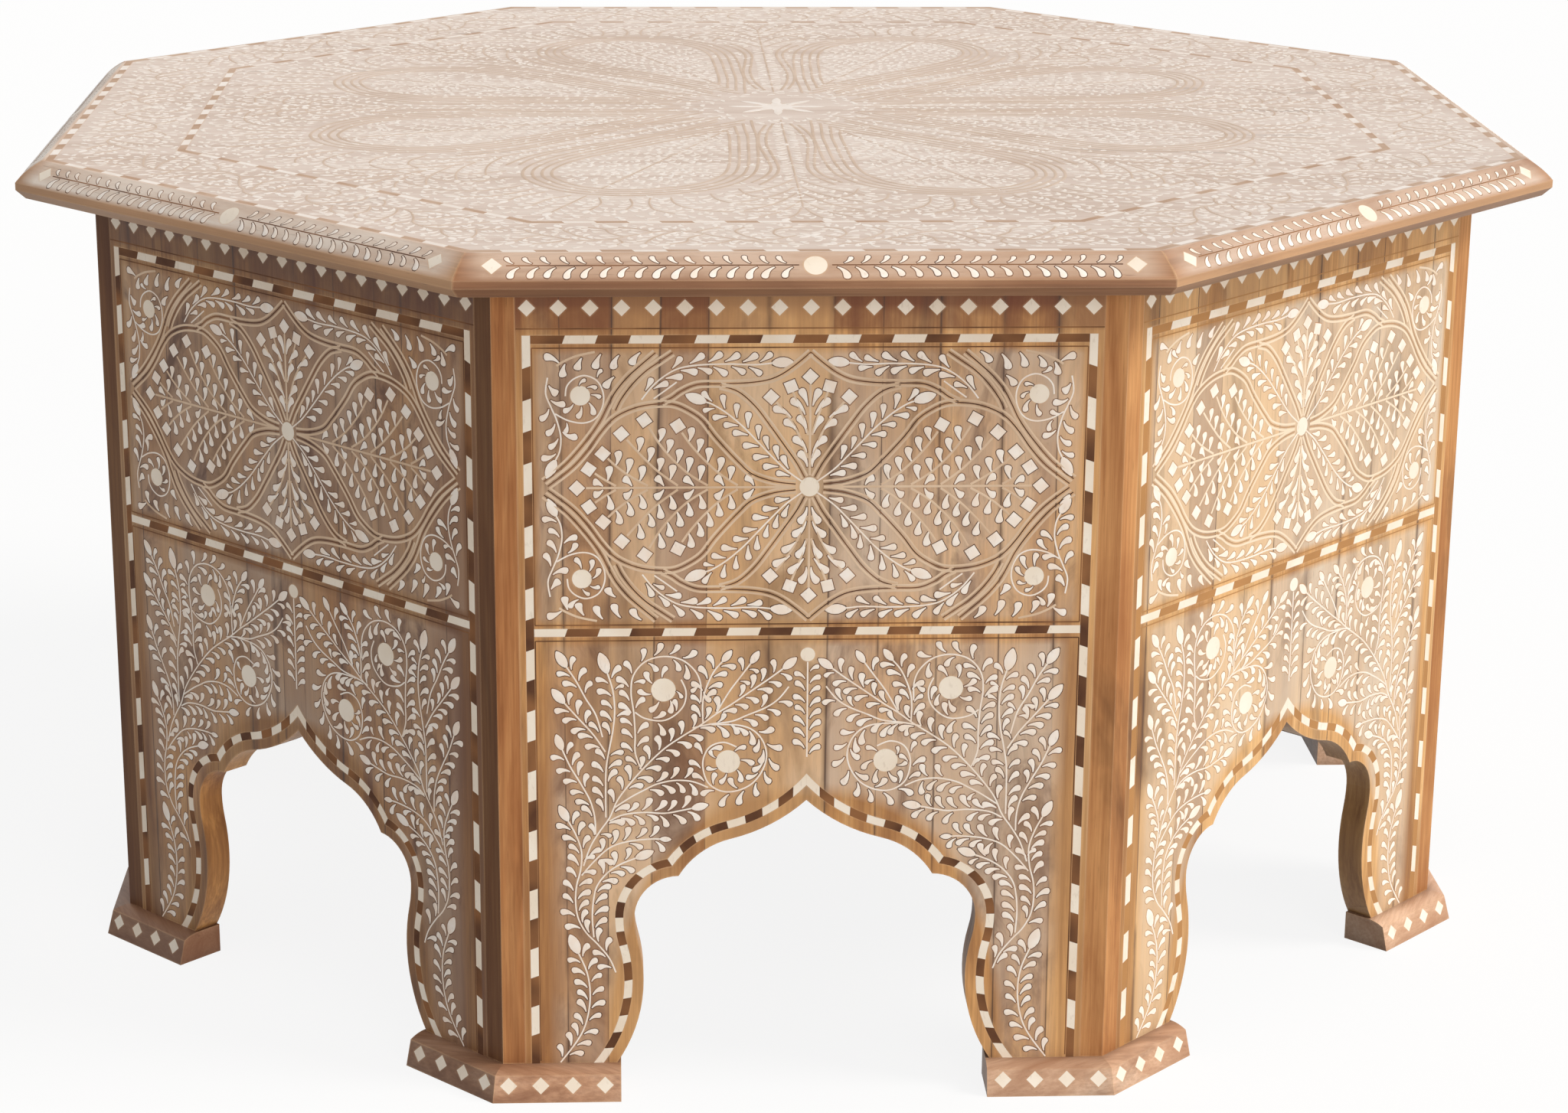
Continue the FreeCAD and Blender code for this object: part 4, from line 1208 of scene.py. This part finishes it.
def inlay(name, light, shade, grimy=False, painted_light_tone=None, roughness=0.38, grain=420.0, patch=38.0,
          pieces=0.55, clouds=0.6, specular=0.5):
    """Makes inlay whose colour changes from piece to piece (pieces) and within a piece (clouds).

    patch is how many changes from piece to piece there are to a metre.
    painted_light_tone is its colour on faces turned towards the light: painted light."""
    made = Surface(name)
    place = made.local()
    piece = made.levels(made.noise(place, [patch] * 3, detail=1), *PIECE_CHANGES)
    cloud = made.noise(place, [CLOUDS_TO_A_METRE] * 3, detail=3)
    fine = made.noise(place, (grain, grain, grain * UPRIGHT_GRAIN), detail=3)
    amount = made.math("ADD", made.product(piece, pieces), made.product(cloud, clouds), use_clamp=True)
    made.colour = made.mix(amount, light, shade)
    if painted_light_tone:
        made.tint(painted_light_tone, made.facing_painted_light(*TOWARDS), INLAY_PAINTED_LIGHT)
    if grimy:
        made.tint(GRIME, made.levels(fine, *GRIME_SPOTS), SPOT_SHARE)
        made.tint(GRIME, made.edge_mask(GRIME_EDGE), EDGE_SHARE)
    made.finish(cloud, roughness - SMOOTHER, roughness + ROUGHER, fine, *INLAY_BUMP, specular)


STEEL_TONES = (tone(150, 148, 144), tone(110, 106, 100))
SCRATCHES = (900, 900, 120)
SCRATCH_LEVELS = (0.4, 0.7)
STEEL_ROUGHNESS = (0.111, 0.667)
STEEL_BUMP = (0.15, 0.0004)


def steel(name):
    made = Surface(name)
    scratches = made.noise(made.local(), SCRATCHES, detail=3)
    made.colour = made.mix(made.levels(scratches, *SCRATCH_LEVELS), *STEEL_TONES)
    made.finish(scratches, *STEEL_ROUGHNESS, scratches, *STEEL_BUMP, metallic=1.0)


def dress(node, look):
    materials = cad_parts[node].data.materials
    materials.clear()
    materials.append(looks[look])


# The top is less glossy than the sides; its sheen is painted into the pale tones of its wood, dark wood and
# lines instead
TOP_GLOSS = {"roughness": 0.55, "specular": 0.25}
DULL = {"roughness": 0.6, "specular": 0.2}
inlay("bone", tone(252, 243, 230), tone(240, 224, 204), grimy=True)
inlay("leaf_bone", tone(254, 247, 240), tone(246, 226, 208), grimy=True, patch=110.0, clouds=0.4)
inlay("top_bone", tone(252, 244, 238), tone(240, 228, 218), grimy=True, patch=60.0, **TOP_GLOSS)
inlay("line_paste", tone(234, 209, 182), tone(210, 179, 148), painted_light_tone=tone(243, 224, 199))
inlay("leaf_bed_and_shade", tone(150, 106, 74), tone(82, 52, 36), painted_light_tone=tone(200, 160, 120), pieces=0.8, **DULL)
inlay("dark_wood", tone(152, 104, 66), tone(84, 52, 34), painted_light_tone=tone(192, 142, 90), grain=700.0,
      pieces=0.8, clouds=0.3, **DULL)
inlay("top_dark_wood", tone(204, 174, 150), tone(178, 142, 114), grain=700.0, **TOP_GLOSS)
inlay("top_line", tone(222, 200, 182), tone(202, 176, 154), **TOP_GLOSS)
steel("screw_steel")
wood("plain_wood", 0.0, 7, PLAIN_TONES, along=SIDEWAYS, roughness=(0.55, 0.75))
wood("top_wood", 0.0, 3, TOP_TONES, along=SIDEWAYS, streaks=0.25, roughness=(0.5, 0.65), specular=0.25)
NODE_LOOKS = {
    "bone": ["panel_border_bone", "arch_border_bone", "frieze_lozenges", "panel_discs", "foot_lozenges",
             "edge_discs", "edge_lozenges"],
    "dark_wood": ["panel_border_dark", "arch_border_dark"],
    "top_bone": ["top_border_bone", "top_star"],
    "top_dark_wood": ["top_border_dark"],
    "screw_steel": ["cleat_screws", "top_screws", "foot_screws"],
    "plain_wood": ["edge_splines", "foot_dowels", *["top_cleat_" + str(i + 1) for i in range(SIDES)]],
    "top_wood": ["top_board"],
}
for look, nodes in NODE_LOOKS.items():
    for node in nodes:
        dress(node, look)

# How much darker faces turned away from the light are painted: painted shade
BODY_PAINTED_SHADE = 0.5
POST_PAINTED_SHADE = 0.7
# Woods of the nodes that repeat: node, material, first seed, steps from its side, tones, paler tones for
# sides turned to the light (painted light), and the rest
SIDE_WOODS = [
    ("side_panel_", "panel_wood_", 20, 0.0, PANEL_TONES, PAINTED_LIT_PANEL_TONES,
     {"panel": True, "streaks": 0.55, "painted_shade": BODY_PAINTED_SHADE}),
    ("corner_post_", "post_wood_", 40, 0.5, POST_TONES, PAINTED_LIT_POST_TONES,
     {"streaks": 0.6, "painted_shade": POST_PAINTED_SHADE, "specular": 0.2}),
    ("foot_", "foot_wood_", 60, 0.5, FOOT_TONES, PAINTED_LIT_FOOT_TONES,
     {"along": SIDEWAYS, "streaks": 0.5, "painted_shade": BODY_PAINTED_SHADE}),
    ("edge_moulding_", "edge_wood_", 80, 0.0, EDGE_TONES, EDGE_TONES,
     {"along": SIDEWAYS, "streaks": 0.2, "edge": True}),
]
for i in range(SIDES):
    number = str(i + 1)
    for node, look, seed, steps, tones, painted_lit_tones, rest in SIDE_WOODS:
        turn = STEP * (i + steps)
        own_tones = [between(*pair, max(0.0, turned_to_painted_light(turn))) for pair in zip(tones, painted_lit_tones)]
        wood(look + number, turn, seed + i, own_tones, **rest)
        dress(node + number, look + number)


# Inlay pieces

SMOOTH_ANGLE = math.radians(40)


def add_object(name, data):
    made = bpy.data.objects.new(name, data)
    bpy.context.scene.collection.objects.link(made)
    return made


def add_piece(name, sheet, look):
    mesh = bpy.data.meshes.new(name)
    mesh.from_pydata(sheet.vertices, [], sheet.faces)
    solid = bmesh.new()
    solid.from_mesh(mesh)
    bmesh.ops.recalc_face_normals(solid, faces=solid.faces)
    solid.to_mesh(mesh)
    solid.free()
    mesh.shade_smooth()
    mesh.set_sharp_from_angle(angle=SMOOTH_ANGLE)
    mesh.materials.append(looks[look])
    piece = add_object(name, mesh)
    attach(piece, "root")


def add_drawing(place, number, pen):
    pen.grow()
    for kind, sheet, look, slot in (
        ("beds_and_shade", pen.bed_and_shade, "leaf_bed_and_shade", "dark_inlay"),
        ("leaves", pen.bone, "leaf_bone", "bone_inlay"),
        ("stems", pen.line, "line_paste", "bone_inlay"),
        ("lines", pen.dark, "dark_wood", "dark_inlay"),
    ):
        if sheet.faces:
            add_piece(place + "_" + kind + "_" + number, sheet, look)


for i in range(SIDES):
    number = str(i + 1)
    panel_pen = Pen(on_panel(i), seed=100 + i)
    field_lines(panel_pen)
    upper_field(panel_pen)
    lower_field(panel_pen)
    add_drawing("panel", number, panel_pen)
    edge_pen = Pen(on_bevel(i), seed=200 + i)
    edge_vine(edge_pen)
    add_drawing("edge", number, edge_pen)
top_pen = Pen(on_top, seed=300, with_shade_beds=False, stem=TOP_STEM_WIDTH, sheet=Sectors)
claim_top_strips(top_pen)
top_inner_field(top_pen)
top_band(top_pen)
top_filling(top_pen)
top_pen.grow()
for i in range(SIDES):
    add_piece("top_leaves_" + str(i + 1), top_pen.bone.sheets[i], "top_bone")
    add_piece("top_stems_" + str(i + 1), top_pen.line.sheets[i], "top_line")


# Stage: pale floor, soft light and the camera

FLOOR_HALF = 15.0
FLOOR_TONES = (tone(178, 176, 172), tone(184, 182, 179))
FLOOR_CLOUDS = 1.5
# What the camera sees of the floor: a little of its shadow in this tone, and the rest white
FLOOR_SHADOW = tone(254, 253, 252)
FLOOR_WHITE = 0.88
WHITE = (1, 1, 1, 1)
WORLD_LIGHT = 0.39
# Lamps: (name, strength, width of its disc, height above the floor and turn to the right, in degrees)
LAMP_COLOUR = (1.0, 0.96, 0.9)
LAMPS = [
    ("key_light", 2.24, 25, 40, 78),
    ("fill_light", 1.42, 35, 9, 27),
]


def seen_apart(nodes, plain, seen):
    """Shows one shader to the camera and to reflections, and another to the light that falls on the table."""
    rays = nodes.add("LightPath").node.outputs
    either = nodes.larger(rays["Is Camera Ray"], rays["Is Glossy Ray"])
    return nodes.add("MixShader", {0: either, 1: plain, 2: seen})


def add_floor():
    mesh = bpy.data.meshes.new("floor")
    corners = [(x * FLOOR_HALF, y * FLOOR_HALF, 0) for x, y in ((-1, -1), (1, -1), (1, 1), (-1, 1))]
    mesh.from_pydata(corners, [], [(0, 1, 2, 3)])
    made = Surface("pale_floor")
    cloud = made.noise(made.add("TexCoord", output="Object"), [FLOOR_CLOUDS] * 3, detail=2)
    plain = made.add("BsdfDiffuse", {"Color": made.mix(cloud, *FLOOR_TONES)})
    shadow = made.add("BsdfDiffuse", {"Color": FLOOR_SHADOW})
    glow = made.add("Emission", {"Color": WHITE, "Strength": 1.0})
    pale = made.add("MixShader", {0: FLOOR_WHITE, 1: shadow, 2: glow})
    made.add("OutputMaterial", {"Surface": seen_apart(made, plain, pale)})
    mesh.materials.append(made.material)
    floor = add_object("floor", mesh)


def add_world():
    world = bpy.data.worlds.new("studio")
    nodes = Nodes(world)
    strengths = (WORLD_LIGHT, 1.0)
    lights = [nodes.add("Background", {"Color": WHITE, "Strength": strength}) for strength in strengths]
    nodes.add("OutputWorld", {"Surface": seen_apart(nodes, *lights)})
    bpy.context.scene.world = world


def add_lamp(name, strength, width, height, turn):
    lamp = bpy.data.lights.new(name, "SUN")
    lamp.energy = strength
    lamp.angle = math.radians(width)
    lamp.color = LAMP_COLOUR
    add_object(name, lamp).rotation_euler = (math.radians(90 - height), 0, math.radians(turn))


# The photograph's camera: turned about the vertical, looking down, with a slight roll
CAMERA_YAW = -0.04598
CAMERA_PITCH = 0.298
CAMERA_ROLL = 0.0071
CAMERA_DISTANCE = 2.1737
CAMERA_AIM = (0, 0, 0.1791)
CAMERA_LENS = 80.77
CAMERA_SENSOR = 36.0
CAMERA_SHIFT = (0.00636, -0.00214)


def add_camera():
    lens = bpy.data.cameras.new("photo_camera")
    lens.lens = CAMERA_LENS
    lens.sensor_width = CAMERA_SENSOR
    lens.shift_x, lens.shift_y = CAMERA_SHIFT
    turned = Euler((math.pi / 2 - CAMERA_PITCH, 0, CAMERA_YAW)).to_matrix().to_4x4()
    rolled = turned @ Matrix.Rotation(CAMERA_ROLL, 4, "Z")
    camera = add_object("photo_camera", lens)
    back = Matrix.Translation((0, 0, CAMERA_DISTANCE))
    camera.matrix_world = Matrix.Translation(CAMERA_AIM) @ rolled @ back
    bpy.context.scene.camera = camera


add_floor()
add_world()
for lamp in LAMPS:
    add_lamp(*lamp)
add_camera()
bpy.context.scene.view_settings.view_transform = "Standard"
